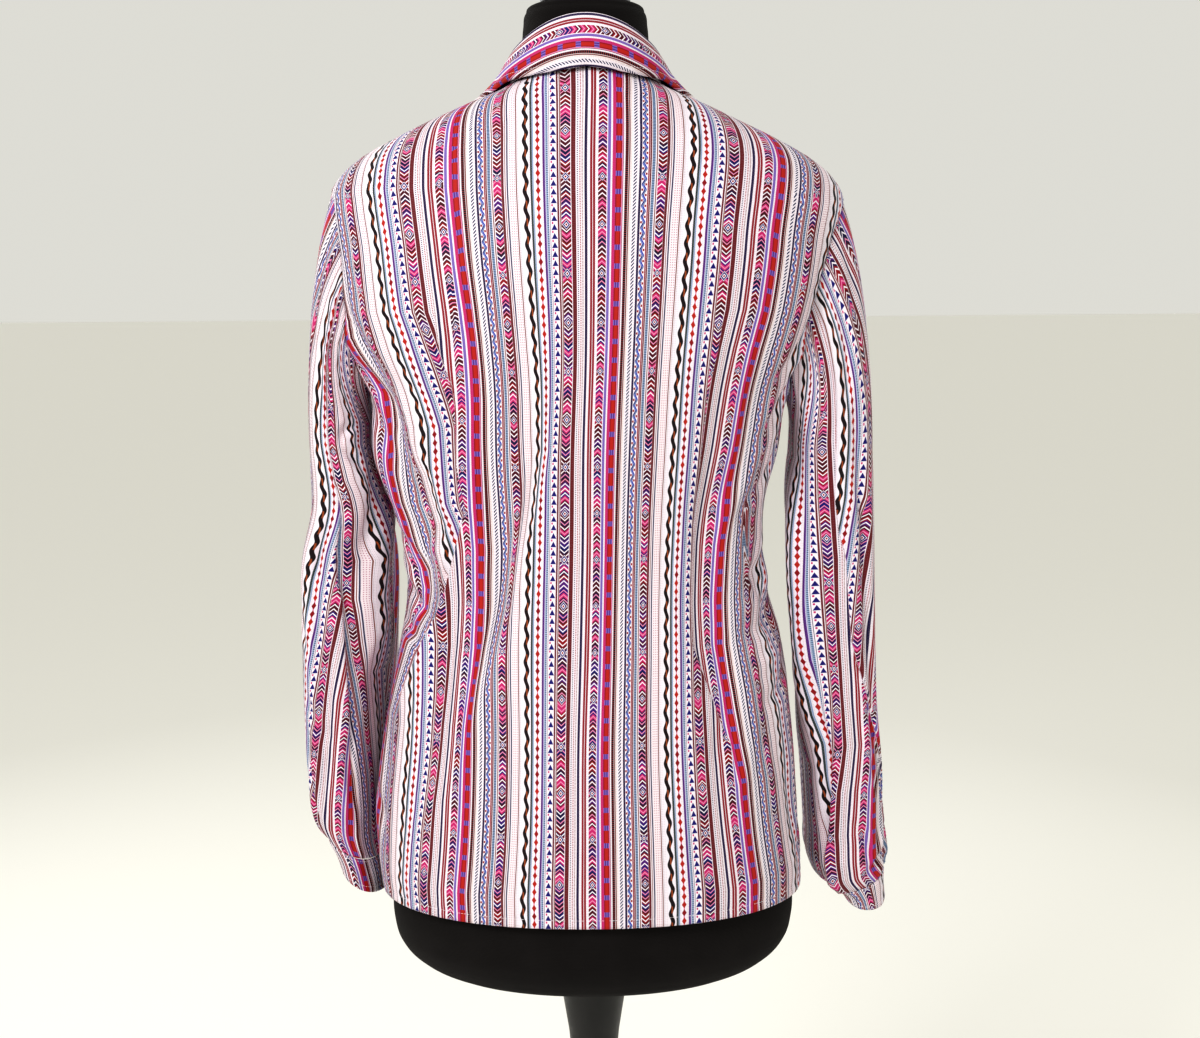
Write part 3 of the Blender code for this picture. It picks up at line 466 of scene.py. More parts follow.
printed_cloth = printed("printed_cloth", 0.0)
cloth_reverse = printed("printed_cloth_reverse", 0.55)
print("cloth finishes:", printed_cloth.name, cloth_reverse.name)

# %% [markdown]
# The form is covered in black jersey with a fine rib, its cap is satin plastic, and the stand is painted
# steel. None of them is one flat colour: dust, handling and the knit change the tone a little.
# %% A soft unevenness for the dark finishes
wires, given, result = group("soft_wear", {"Size": 30.0, "Amount": 0.3, "Clean": (0.01, 0.01, 0.01, 1),
                                           "Worn": (0.03, 0.03, 0.03, 1)}, ("Color", "Mask"))
mask = wires.noise(given["Size"], 5.0, wires.here()).step(0.35, 0.75) * given["Amount"]
wires.put(result["Mask"], mask)
wires.put(result["Color"], mask.mix(given["Clean"], given["Worn"]))
print("nodes in the wear:", len(wires.tree.nodes))


# %% Jersey, cap, paint, buttons and thread
def worn(name, clean, aged, size, amount, roughness, spread, **more):
    """A finish whose colour and roughness both vary with soft wear. Gives its parts for a bump."""
    made, wires, shader = finish_of(name, roughness, **more)
    wear = grouped(wires, "soft_wear", Size=size, Amount=amount, Clean=clean, Worn=aged)
    wires.put(shader["Base Color"], wear["Color"])
    wires.put(shader["Roughness"], wear["Mask"] * spread + roughness)
    return made, wires, shader


def knit_height(wires, columns, rows):
    """Height of a fine knit from the object's own coordinates."""
    x, y, z = wires.here().parts()
    rib = abs((y.math("ARCTAN2", x) * columns).math("SINE"))
    return rib + (z * rows + rib * 2.0).math("SINE") * 0.4


jersey, wires, shader = worn("black_jersey", colour(27, 24, 24), colour(38, 35, 35), 22.0, 0.6, 0.86, 0.1,
                             sheen=0.03, specular=0.2)
bump(wires, shader, knit_height(wires, 420.0, 5200.0), 0.00025, 0.6)
cap_plastic, wires, shader = worn("cap_plastic", colour(20, 20, 22), colour(42, 42, 44), 60.0, 0.5, 0.32, 0.2)
bump(wires, shader, wires.noise(900.0), 0.0002, 0.5)
stand_paint, wires, shader = worn("stand_paint", colour(22, 21, 22), colour(48, 46, 46), 40.0, 0.5, 0.34, 0.25)
bump(wires, shader, wires.noise(600.0), 0.0003, 0.4)
pearl, wires, shader = worn("button_resin", colour(232, 226, 220), colour(206, 190, 196), 240.0, 0.8, 0.22, 0.15)
shader["Coat Weight"].default_value = 0.3
bump(wires, shader, knit_height(wires, 6.0, 900.0), 0.0001, 0.3)
thread, wires, shader = worn("sewing_thread", colour(240, 234, 238), colour(214, 196, 206), 800.0, 0.7, 0.7, 0.1,
                             sheen=0.1)
bump(wires, shader, knit_height(wires, 40.0, 9000.0), 0.0001, 0.6)
print("finishes:", len(bpy.data.materials))

# %% [markdown]
# ## The blouse's surface
# The blouse's body is one smooth tube read from a table of level sections, and each sleeve is another. The
# tables repeat the CAD model's, so the shells lie where its solids lie. A place runs round the body: 0 is
# the middle of the back, 1 the side line, 2 the middle of the front, and it is negative on the wearer's right.
# %% Sections of the body
ARMPIT_LEVEL = 1.224
SHOULDER_LEVEL = 1.384
SHOULDER_LEAN = 0.0055  # the left shoulder sits this much above the mean, the right one below
ARC_SAMPLES = 257
# Columns: height, half widths on the left and right, depths of the back and front, squareness
BODY = (
    (0.802, 0.1812, 0.18, 0.115, 0.112, 2.2),
    (0.835, 0.185, 0.179, 0.115, 0.112, 2.2),
    (0.87, 0.1855, 0.176, 0.114, 0.112, 2.2),
    (0.925, 0.179, 0.1725, 0.109, 0.11, 2.2),
    (0.96, 0.1726, 0.169, 0.105, 0.108, 2.2),
    (1.01, 0.1625, 0.162, 0.097, 0.105, 2.2),
    (1.055, 0.1545, 0.15, 0.092, 0.103, 2.25),
    (1.095, 0.156, 0.145, 0.091, 0.105, 2.3),
    (1.13, 0.163, 0.146, 0.093, 0.111, 2.3),
    (1.172, 0.177, 0.156, 0.0975, 0.12, 2.35),
    (1.224, 0.179, 0.166, 0.101, 0.125, 2.4),
    (1.268, 0.203, 0.188, 0.102, 0.123, 2.4),
    (1.3, 0.208, 0.197, 0.1015, 0.117, 2.4),
    (1.34, 0.2105, 0.205, 0.0985, 0.109, 2.25),
    (1.375, 0.211, 0.2105, 0.093, 0.099, 2.1),
    (1.388, 0.2085, 0.206, 0.09, 0.0945, 2.04),
    (1.403, 0.1975, 0.1935, 0.086, 0.089, 1.96),
    (1.416, 0.181, 0.175, 0.082, 0.083, 1.88),
    (1.428, 0.159, 0.153, 0.078, 0.0765, 1.82),
    (1.442, 0.13, 0.124, 0.0725, 0.07, 1.8),
    (1.456, 0.097, 0.094, 0.0665, 0.064, 1.85),
    (1.47, 0.0625, 0.0615, 0.0605, 0.059, 2.0),
    (1.482, 0.058, 0.057, 0.056, 0.056, 2.0),
)
# Columns: lowest and highest level, the place at each, depth (minus stands out), half width
BODY_FOLDS = (
    (0.88, 1.23, 0.62, 0.52, 0.006, 0.014),
    (0.99, 1.21, 0.36, 0.34, 0.003, 0.011),
    (0.86, 1.29, -0.47, -0.5, 0.0055, 0.013),
    (1.0, 1.15, -0.86, -0.74, 0.0045, 0.012),
    (1.06, 1.26, 0.8, 0.88, -0.004, 0.016),
    (0.96, 1.2, 1.36, 1.3, 0.0055, 0.016),
    (0.96, 1.19, -1.38, -1.28, 0.005, 0.016),
    (0.84, 1.12, 1.7, 1.62, 0.004, 0.014),
    (0.83, 1.1, -1.66, -1.6, 0.0045, 0.015),
    (1.23, 1.345, 0.74, 0.84, 0.003, 0.012),
    (1.23, 1.335, -0.76, -0.85, 0.0035, 0.012),
)
print("level sections of the body:", len(BODY))


# %% Reading a table along a smooth curve
def read_table(table, where):
    """Read every column of a table but its first, at values of the first, along smooth curves."""
    rows = np.array(sorted(table), float)
    keys, values = rows[:, 0], rows[:, 1:]
    slopes = np.gradient(values, keys, axis=0)
    where = np.clip(np.asarray(where, float), keys[0], keys[-1])
    cell = np.clip(np.searchsorted(keys, where) - 1, 0, len(keys) - 2)
    step = (keys[cell + 1] - keys[cell])[..., None]
    f = (where - keys[cell])[..., None] / step
    return np.moveaxis(values[cell] * (1 + 2 * f) * (1 - f) ** 2 + slopes[cell] * step * f * (1 - f) ** 2
                       + values[cell + 1] * f * f * (3 - 2 * f) - slopes[cell + 1] * step * f * f * (1 - f), -1, 0)


def unit(vectors):
    """Vectors brought to the length of one."""
    return vectors / np.linalg.norm(vectors, axis=-1, keepdims=True)


def run_along(row):
    """Length along rows of points from their first ones."""
    steps = np.cumsum(np.linalg.norm(np.diff(row, axis=-2), axis=-1), axis=-1)
    return np.concatenate([np.zeros(steps.shape[:-1] + (1,)), steps], axis=-1)


def ease(x):
    """A smooth step from 0 to 1."""
    x = np.clip(x, 0.0, 1.0)
    return x * x * (3 - 2 * x)


def quarter(wide, deep, square, share):
    """Point on a quarter of a rounded section, at a share of its length from the middle line.

    Gives how far out, how far deep, and the whole quarter's length."""
    shape = np.shape(share)
    wide, deep, square, share = (np.broadcast_to(v, shape).ravel() for v in (wide, deep, square, share))
    turn = np.linspace(0.5 * math.pi, 0.0, ARC_SAMPLES)
    power = (2.0 / square)[:, None]
    out = wide[:, None] * np.cos(turn) ** power
    back = deep[:, None] * np.sin(turn) ** power
    out[:, 0], back[:, -1] = 0.0, 0.0
    lengths = np.hypot(np.diff(out, axis=1), np.diff(back, axis=1))
    run = np.concatenate([np.zeros((len(wide), 1)), np.cumsum(lengths, axis=1)], axis=1)
    target = share * run[:, -1]
    cell = np.clip((run < target[:, None]).sum(axis=1) - 1, 0, ARC_SAMPLES - 2)
    rows = np.arange(len(wide))
    part = (target - run[rows, cell]) / (run[rows, cell + 1] - run[rows, cell])
    out_at = out[rows, cell] + part * (out[rows, cell + 1] - out[rows, cell])
    back_at = back[rows, cell] + part * (back[rows, cell + 1] - back[rows, cell])
    return out_at.reshape(shape), back_at.reshape(shape), run[:, -1].reshape(shape)


def wrapped(place):
    """Bring a place round the body into -2..2."""
    return (np.asarray(place, float) + 2.0) % 4.0 - 2.0


def section(place, height):
    """Point of the body's unfolded surface, and the length of the quarter that it is on."""
    place = wrapped(place)
    side = np.where(place < 0, -1.0, 1.0)
    reach = np.abs(place)
    behind = reach <= 1.0
    height = np.broadcast_to(height, place.shape)
    left, right, back, front, square = read_table(BODY, height)
    out, deep, length = quarter(np.where(side > 0, left, right), np.where(behind, back, front), square,
                                np.where(behind, reach, 2.0 - reach))
    return np.stack([side * out, np.where(behind, deep, -deep), height], axis=-1), length


LEVEL = np.array([1.0, 1.0, 0.0])        # takes the height out of a vector


def lean(place, level):
    """The left shoulder sits a little higher than the right one."""
    rise = ease((level - 1.05) / (ARMPIT_LEVEL - 1.05)) * (1 - ease((level - SHOULDER_LEVEL) / 0.08))
    return SHOULDER_LEAN * rise * np.sin(0.5 * math.pi * wrapped(place))


print("half of the back at the waist is", round(float(section(np.array([1.0]), np.array([1.06]))[1][0]), 3), "m long")

# %% [markdown]
# The long folds come from the CAD model. The photograph shows finer ones too: drag lines from the armholes
# to the waist, small pinches beside the armholes, and kinks where the blouse spreads over the hips. They are
# placed one by one as soft troughs and ridges between two points of the unrolled body. A cloth simulation
# would put folds somewhere else than the real blouse has them.
# %% Small creases of the body
# Columns: place and level of one end, place and level of the other, depth (minus stands out), half width
BODY_CREASES = (
    (0.86, 1.3, 0.7, 1.215, 0.003, 0.006), (0.9, 1.262, 0.66, 1.16, 0.0032, 0.007),
    (0.95, 1.236, 0.62, 1.1, 0.0022, 0.007), (0.8, 1.33, 0.72, 1.27, 0.0018, 0.005),
    (0.6, 1.3, 0.5, 1.15, 0.0024, 0.01), (0.76, 1.25, 0.56, 1.12, -0.0018, 0.007),
    (0.34, 1.23, 0.24, 1.06, 0.0016, 0.01), (0.2, 1.16, 0.44, 1.0, 0.002, 0.008),
    (0.95, 1.12, 0.7, 1.075, 0.0026, 0.006), (0.98, 1.095, 0.72, 1.052, -0.002, 0.006),
    (0.96, 1.07, 0.66, 1.04, 0.0024, 0.006), (0.92, 1.04, 0.7, 1.01, 0.002, 0.006),
    (0.6, 1.03, 0.66, 0.86, 0.0022, 0.012), (0.3, 0.99, 0.34, 0.83, 0.0014, 0.014),
    (0.86, 0.96, 0.9, 0.83, 0.0026, 0.01), (0.97, 0.9, 0.8, 0.84, 0.0022, 0.007),
    (-0.84, 1.31, -0.7, 1.23, 0.003, 0.006), (-0.9, 1.27, -0.66, 1.18, 0.0034, 0.007),
    (-0.95, 1.236, -0.64, 1.12, 0.0026, 0.007), (-0.8, 1.335, -0.74, 1.285, 0.0018, 0.005),
    (-0.58, 1.28, -0.46, 1.1, 0.0022, 0.01), (-0.72, 1.24, -0.54, 1.11, -0.0018, 0.007),
    (-0.98, 1.1, -0.66, 1.07, 0.003, 0.006), (-0.97, 1.078, -0.62, 1.05, -0.0022, 0.006),
    (-0.98, 1.056, -0.6, 1.03, 0.0034, 0.007), (-0.96, 1.03, -0.64, 1.0, -0.0022, 0.007),
    (-0.95, 1.006, -0.66, 0.968, 0.003, 0.007), (-0.5, 1.04, -0.46, 0.93, 0.0024, 0.007),
    (-0.62, 1.01, -0.52, 0.9, -0.0018, 0.008), (-0.3, 1.12, -0.33, 0.93, 0.0014, 0.01),
    (-0.72, 0.94, -0.8, 0.83, 0.0024, 0.01), (-0.98, 0.88, -0.84, 0.83, 0.0026, 0.007),
    (0.12, 1.44, 0.16, 1.36, 0.0008, 0.012), (-0.3, 1.43, -0.34, 1.34, 0.001, 0.012),
    (1.14, 1.3, 1.34, 1.22, 0.003, 0.007), (1.1, 1.262, 1.38, 1.16, 0.0032, 0.008),
    (1.06, 1.236, 1.36, 1.1, 0.0024, 0.008), (1.04, 1.11, 1.34, 1.066, 0.0026, 0.007),
    (1.04, 1.08, 1.36, 1.04, -0.002, 0.007), (1.5, 1.15, 1.62, 0.98, 0.002, 0.01),
    (1.2, 0.98, 1.14, 0.84, 0.0024, 0.01), (1.7, 0.96, 1.78, 0.83, 0.0018, 0.012),
    (-1.14, 1.3, -1.32, 1.22, 0.0028, 0.007), (-1.1, 1.262, -1.36, 1.16, 0.0032, 0.008),
    (-1.06, 1.236, -1.38, 1.11, 0.0022, 0.008), (-1.04, 1.12, -1.36, 1.08, 0.0026, 0.007),
    (-1.04, 1.07, -1.34, 1.036, -0.0022, 0.007), (-1.52, 1.14, -1.6, 0.99, 0.0022, 0.01),
    (-1.24, 0.97, -1.18, 0.84, 0.0022, 0.01), (-1.72, 0.95, -1.8, 0.83, 0.0018, 0.012),
)
UNROLLED = 0.21         # metres of cloth in one unit of place, near enough for a crease's width


def creases_at(table, across, up):
    """How far small creases move the cloth out at points of an unrolled piece."""
    moved = np.zeros(np.shape(across))
    for x_a, z_a, x_b, z_b, depth, width in table:
        run_x, run_z = x_b - x_a, z_b - z_a
        length = math.hypot(run_x, run_z)
        f = ((across - x_a) * run_x + (up - z_a) * run_z) / length ** 2
        bow = 0.1 * length * np.sin(math.pi * np.clip(f, 0, 1))
        aside = ((across - x_a) * run_z - (up - z_a) * run_x) / length - bow
        strength = np.where((f > 0) & (f < 1), np.sin(math.pi * np.clip(f, 0, 1)) ** 0.8, 0.0)
        x = aside / width
        moved -= depth * strength * (1 - 0.55 * x * x) * np.exp(-0.5 * x * x)
    return moved


print("small creases of the body:", len(BODY_CREASES))

# %% [markdown]
# Two folds of the back lap over themselves, so that part of the print is hidden. Each is a line down the
# back with the width of cloth that it hides, in millimetres, and a lip that stands out on its middle side.
# %% Laps of the back
# Columns: level, place, hidden cloth in millimetres. Then the lip's height and its side
BACK_LAPS = (
    (((1.29, 0.46, 0), (1.26, 0.46, 7), (1.2, 0.46, 22), (1.137, 0.465, 24), (1.122, 0.505, 29),
      (1.102, 0.555, 33), (1.086, 0.589, 37), (1.068, 0.617, 48), (1.051, 0.645, 50), (1.031, 0.688, 42),
      (1.016, 0.716, 31), (0.98, 0.776, 10), (0.955, 0.8, 0)), 0.0046, 1),
    (((1.29, -0.43, 0), (1.26, -0.43, 3), (1.183, -0.43, 7), (1.103, -0.44, 14), (1.06, -0.42, 15),
      (1.0235, -0.41, 14), (0.985, -0.46, 8), (0.945, -0.52, 4), (0.91, -0.53, 0)), 0.0018, -1),
)
# Soft gathers, where the print is squeezed but not hidden: level, place, millimetres. Then the side, the
# width that the squeeze takes, and the depth of its trough
BACK_GATHERS = (
    (((1.27, 0.74, 0), (1.227, 0.71, 18), (1.19, 0.66, 16), (1.162, 0.6, 16), (1.12, 0.61, 20),
      (1.1, 0.65, 22), (1.085, 0.65, 30), (1.06, 0.67, 23), (1.04, 0.71, 13), (1.02, 0.74, 0)), 1, 0.014, 0.0),
    (((1.28, 0.13, 0), (1.26, 0.13, 1), (1.183, 0.15, 8), (1.14, 0.22, 12), (1.103, 0.285, 15),
      (1.06, 0.34, 15), (1.0235, 0.4, 13), (0.96, 0.46, 4), (0.9, 0.5, 0)), 1, 0.019, 0.0022),
    (((1.16, -0.7, 0), (1.13, -0.71, -12), (1.103, -0.72, -18), (1.07, -0.73, -12), (1.045, -0.74, 0)), -1, 0.014, 0.0),
)
# How far the print hangs off plumb on the back, in millimetres to the wearer's left: level, at the middle, then the
# slope for one unit of place, near the middle and further out, on the left and on the right.
BACK_DRIFT = (
    (0.826, 12.3, -14, -20, 14, -12), (0.866, 12, -24, -26, 20, 3), (0.945, 11.2, -30, -30, 32, 22),
    (1.0235, 8, -16, -16, 38, 38), (1.103, 5.6, -16, -5, 38, 36), (1.183, 4.3, -30, -10, 30, 28),
    (1.26, 1.3, -42, 0, 27, 14), (1.335, 0.3, -15, 0, 12, -3), (1.411, 0, 2.5, 20, -5, -10),
    (1.46, -1, 9, 9, -3, -14),
)


def line_at(rows, level, item):
    """Read one column of a lap's rows at a level."""
    rows = sorted(rows)
    return np.interp(level, [row[0] for row in rows], [row[item] for row in rows])


def lap_distance(rows, side, place, height, length):
    """Signed distance past a lap's line, away from the body's middle."""
    return side * (place - line_at(rows, height, 1)) * length


def lips_at(place, height, length):
    """How far the laps' lips move the cloth: out on the middle side of the line, in past it."""
    moved = np.zeros(np.shape(place))
    for rows, lip, side in BACK_LAPS:
        d = lap_distance(rows, side, place, height, length)
        strength = np.clip(line_at(rows, height, 2) / 10.0, 0.0, 1.0)
        moved -= lip * strength * np.tanh(d / 0.0011) * np.exp(-np.abs(d) / 0.009)
    for rows, side, width, depth in BACK_GATHERS:
        d = lap_distance(rows, side, place, height, length)
        moved -= depth * np.clip(line_at(rows, height, 2) / 15.0, 0.0, 1.0) * np.exp(-(d / 0.0075) ** 2)
    return moved


def drift(place, height, length):
    """The print's drift at places of the back, soft gathers included, in metres."""
    middle, left_near, left_far, right_near, right_far = read_table(BACK_DRIFT, height)
    left, right = np.maximum(place, 0), np.maximum(-place, 0)
    moved = middle + left_near * np.minimum(left, 0.35) + left_far * np.maximum(left - 0.35, 0)
    moved += right_near * np.minimum(right, 0.25) + right_far * np.maximum(right - 0.25, 0)
    for rows, side, width, depth in BACK_GATHERS:
        d = lap_distance(rows, side, place, height, length)
        moved -= side * line_at(rows, height, 2) * ease(d / width + 0.5)
    return 0.001 * moved


def folds_at(place, height, length):
    """How far the body's folds move its surface out at a place."""
    place = wrapped(place)
    sum_out = np.zeros(np.shape(place))
    for low, high, place_low, place_high, depth, width in BODY_FOLDS:
        f = np.clip((height - low) / (high - low), 0.0, 1.0)
        strength = np.sin(math.pi * f) ** 0.8
        centre = place_low + (place_high - place_low) * f
        x = (place - centre) * length / width
        sum_out = sum_out - depth * strength * (1 - 0.55 * x * x) * np.exp(-0.5 * x * x)
    return sum_out


def body(place, level, out=0.0):
    """Point of the blouse's body at a place and a level, moved out by a distance, and the way out."""
    place = np.asarray(place, float)
    height = level + lean(place, level)
    point, length = section(place, height)
    tiny = 0.002
    along = section(place + tiny, height)[0] - section(place - tiny, height)[0]
    upward = section(place, height + tiny)[0] - section(place, height - tiny)[0]
    normal = unit(np.cross(along, upward))
    outward = np.sum(normal * point * LEVEL, axis=-1, keepdims=True)
    normal = np.where(outward < 0, -normal, normal)
    around = wrapped(place)
    shift = folds_at(place, height, length) + creases_at(CREASES_UNROLLED, around * UNROLLED, height) + out
    shift = shift + np.where(np.abs(around) < 1.0, lips_at(around, height, length), 0.0)
    return point + normal * shift[..., None], normal


CREASES_UNROLLED = [(a * UNROLLED, b, c * UNROLLED, d, e, f) for a, b, c, d, e, f in BODY_CREASES]
print("the back's middle at the hem:", body(np.array([0.0]), 0.802)[0].round(4))

# %% Edges of the panels
ARMHOLE_BACK = 0.042    # how far the loop reaches behind the side line
ARMHOLE_FRONT = 0.05    # and in front of it
ARMHOLE_SQUARE = 2.3
ARMHOLE_MIDDLE = 0.5 * (ARMPIT_LEVEL + SHOULDER_LEVEL)
ARMHOLE_HALF = 0.5 * (SHOULDER_LEVEL - ARMPIT_LEVEL)
NECK_BACK = 1.478
NECK_SIDE = 1.47
NECK_FRONT = 1.425


def neckline(place):
    """Height of the neckline round the neck."""
    reach = np.abs(wrapped(place))
    back = NECK_SIDE + (NECK_BACK - NECK_SIDE) * np.cos(0.5 * math.pi * np.minimum(reach, 1.0)) ** 2
    front = NECK_SIDE + (NECK_FRONT - NECK_SIDE) * np.sin(0.5 * math.pi * (np.maximum(reach, 1.0) - 1.0)) ** 2
    return np.where(reach <= 1.0, back, front)


def armhole(turn):
    """Level and depth from the side line of the armhole, at a turn from its top over the back."""
    power = 2.0 / ARMHOLE_SQUARE
    c, s = np.cos(turn), np.sin(turn)
    depth = np.where(s >= 0, ARMHOLE_BACK, ARMHOLE_FRONT)
    return ARMHOLE_MIDDLE + ARMHOLE_HALF * np.sign(c) * np.abs(c) ** power, depth * np.abs(s) ** power


def place_of(side, level, depth, behind):
    """Place on the body whose depth from the side line is the given one."""
    base = 1.0 if behind else 2.0
    sign = -1.0 if behind else 1.0
    shares = np.linspace(0.0, 1.0, 201)
    places = side * (1.0 + sign * (1.0 - shares))
    height = level + float(lean(np.array(side * base), level))
    depths = np.abs(section(places, np.full(places.shape, height))[0][:, 1])
    share = np.interp(depth, depths[::-1], shares[::-1])
    return side * (1.0 + sign * (1.0 - share))


def edge_place(side, level, behind):
    """Where a panel ends at a level: at the side line, or at the armhole."""
    ratio = abs(level - ARMHOLE_MIDDLE) / ARMHOLE_HALF
    if ratio >= 1.0:
        return side * 1.0
    depth = (ARMHOLE_BACK if behind else ARMHOLE_FRONT) * (1.0 - ratio ** ARMHOLE_SQUARE) ** (1.0 / ARMHOLE_SQUARE)
    return float(place_of(side, level, depth, behind))


print("the back reaches the armhole at place", round(edge_place(1, 1.3, True), 3))

# %% [markdown]
# A cloth piece is a grid of points, one row for each level, with its print coordinates. Solidify gives it the
# thickness of a light weave, with the paler reverse of the print inside. Cloth simulation would stretch
# the print, and a subdivided cage would round off the fold lips.
# %% Making a cloth piece from a grid
CLOTH = 0.0007
FLAT_SIZES = {}


def piece(name, verts, faces, finishes, slot, node=None):
    """A smooth mesh that rides on the root body and may stand for a CAD node."""
    mesh = bpy.data.meshes.new(name)
    mesh.from_pydata([tuple(map(float, vert)) for vert in verts], [], faces)
    for finish in finishes:
        mesh.materials.append(finish)
    mesh.shade_smooth()
    made = bpy.data.objects.new(name, mesh)
    bpy.context.scene.collection.objects.link(made)
    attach(made, "root")
    if node:
        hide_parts(node)
    print(f"{name}: {len(faces)} faces")
    return made


def ring_faces(gaps, sides, first=0, downward=False):
    """Faces between neighbouring rings of points, which climb or run down."""
    faces = []
    for start in range(first, first + gaps * sides, sides):
        for k in range(sides):
            a, b = start + k, start + (k + 1) % sides
            faces.append((a, a + sides, b + sides, b) if downward else (a, b, b + sides, a + sides))
    return faces


def cloth(name, node, points, across, along, laps=(), thick=CLOTH, centre=None):
    """A cloth piece: rows of points, the print's coordinates in metres, and its laps."""
    rows, columns = points.shape[:2]
    first = (np.arange(rows - 1)[:, None] * columns + np.arange(columns - 1)[None, :]).ravel()
    faces = np.stack([first, first + 1, first + columns + 1, first + columns], axis=1)
    flat = points.reshape(-1, 3)
    middle = flat.mean(axis=0) if centre is None else np.asarray(centre)
    crossing = np.cross(flat[faces[:, 1]] - flat[faces[:, 0]], flat[faces[:, 3]] - flat[faces[:, 0]])
    away = (flat[faces[:, 0]] - middle) * LEVEL
    if np.sum(crossing * away) < 0:
        faces = faces[:, ::-1]
    made = piece(name, flat, faces.tolist(), (printed_cloth, cloth_reverse), "printed_cloth", node)
    corners = faces.ravel()
    chart = np.stack([across.ravel()[corners], along.ravel()[corners]], axis=1)
    made.data.uv_layers.new(name="UVMap").data.foreach_set("uv", chart.ravel())
    for label, item in (("lip_distance", 0), ("lip_take", 1)):
        values = np.zeros((len(flat), 3))
        for number, lap in enumerate(laps):
            values[:, number] = np.broadcast_to(lap[item], (rows, columns)).ravel()
        made.data.attributes.new(label, "FLOAT_VECTOR", "POINT").data.foreach_set("vector", values.ravel())
    shell = made.modifiers.new("cloth", "SOLIDIFY")
    shell.thickness, shell.offset, shell.material_offset = thick, -1.0, 1
    FLAT_SIZES[name] = (run_along(points)[:, -1].max(), run_along(points.swapaxes(0, 1))[:, -1].max(),
                        sum(face.area for face in made.data.polygons))
    return made


def run_up(points):
    """Length of cloth from the first row, square to the rows."""
    along = unit(np.gradient(points, axis=1))
    steps = np.diff(points, axis=0)
    steps = steps - np.sum(steps * along[1:], axis=-1, keepdims=True) * along[1:]
    return np.concatenate([np.zeros((1, points.shape[1])), np.cumsum(np.linalg.norm(steps, axis=-1), axis=0)])


# %% [markdown]
# ## Back and fronts
# The back is one panel from side seam to side seam, and the fronts meet under the button band. Their hem is
# turned up inside by 7 mm and stitched. The edges that are sewn sink in a little, as a real seam does.
# %% Rows of a panel
HEM_TURN = 0.007
SEAM_SINK = 0.0011      # how far a sewn edge sinks in
LOW = BODY[0][0]        # the hem's level
ROWS_BELOW, ROWS_BESIDE, ROWS_ABOVE = 120, 34, 16       # of the armhole
BACK_COLUMNS, FRONT_COLUMNS, BAND_COLUMNS = 170, 84, 26
HEM_INSIDE = ((HEM_TURN, -0.0017), (0.004, -0.0017), (0.0008, -0.0016), (-0.0003, -0.0009))     # rise and inset
CHEST = (0, 0, 1.1)


def panel_levels():
    """Levels from the hem to the shoulder tip."""
    return np.concatenate([np.linspace(LOW, ARMPIT_LEVEL, ROWS_BELOW + 1),
                           armhole(np.linspace(math.pi, 0.0, ROWS_BESIDE + 1))[0][1:]])


def panel(first_edge, last_edge, columns, lift=0.0, short=0.0, sewn=(True, True)):
    """Points, places, levels and quarter lengths of a panel, with its hem turned up inside."""
    shares = np.linspace(0.0, 1.0, columns + 1)
    rows, ends = [], []

    def row(level, out=0.0):
        tip = np.minimum(level, SHOULDER_LEVEL).min()
        first, last = (edge(float(tip)) for edge in (first_edge, last_edge)) if tip < SHOULDER_LEVEL else ends[-1]
        ends.append((first, last))
        places = first + shares * (last - first)
        length = section(places, np.broadcast_to(level, places.shape))[1]
        sunk = np.zeros(places.shape)
        for use, end in zip(sewn, (first, last)):
            if use:
                sunk -= SEAM_SINK * np.exp(-((places - end) * length / 0.0016) ** 2)
        above_seam = level - LOW - HEM_TURN
        sunk -= 0.0004 * np.exp(-(above_seam / 0.0012) ** 2)
        sunk += 0.0005 * np.sin(places * 97.0) * np.exp(-(above_seam / 0.006) ** 2)
        points = body(places, level, lift + sunk + out)[0]
        rows.append((points, places, np.broadcast_to(level, places.shape), length))

    for rise, out in HEM_INSIDE:
        row(LOW + rise, out)
    for level in panel_levels()[:-1]:
        row(level)
    first, last = first_edge(SHOULDER_LEVEL), last_edge(SHOULDER_LEVEL)
    ends.append((first, last))
    for share in np.linspace(0.0, 1.0, ROWS_ABOVE + 1):
        row(SHOULDER_LEVEL + (neckline(first + shares * (last - first)) - short - SHOULDER_LEVEL) * share)
    return [np.array([item[k] for item in rows]) for k in range(4)]


def hem_along(points):
    """The print's height for a panel, with the turned hem counted downwards."""
    rise = run_up(points)
    return rise - rise[len(HEM_INSIDE)]


print("rows from the hem to the shoulder:", len(panel_levels()))

# %% The back
points, places, levels, lengths = panel(lambda level: edge_place(1, level, True),
                                        lambda level: edge_place(-1, level, True), BACK_COLUMNS)
heights = levels + lean(places, levels)
across = drift(places, heights, lengths) - places * lengths
laps = [(lap_distance(rows, side, places, heights, lengths), -side * 0.001 * line_at(rows, heights, 2))
        for rows, lip, side in BACK_LAPS]
cloth("back_panel", "back", points, across, hem_along(points), laps, centre=CHEST)

# %% [markdown]
# The fronts are hidden in the photograph. They are finished plainly, as a shirt blouse of this kind is: the
# stripes run straight down from the shoulders, and the wearer's right front laps over the left one.
# %% The fronts and the button band
BAND_LEFT, BAND_RIGHT, BAND_SEAM = 0.0145, 0.0165, 0.015
BAND_LIFT, BAND_SHORT = 0.0012, 0.0028          # how far it stands off the fronts, and ends below the neckline
FRONT_PRINT = {"left": 0.058, "right": 0.046}   # where the chart starts at the middle of each front


def middle_edge(side, offset):
    """Where a front ends beside the middle of the front."""
    def edge(level):
        return 2.0 * side + offset / float(section(np.array([1.95]), np.array([min(level, 1.43)]))[1][0])
    return edge


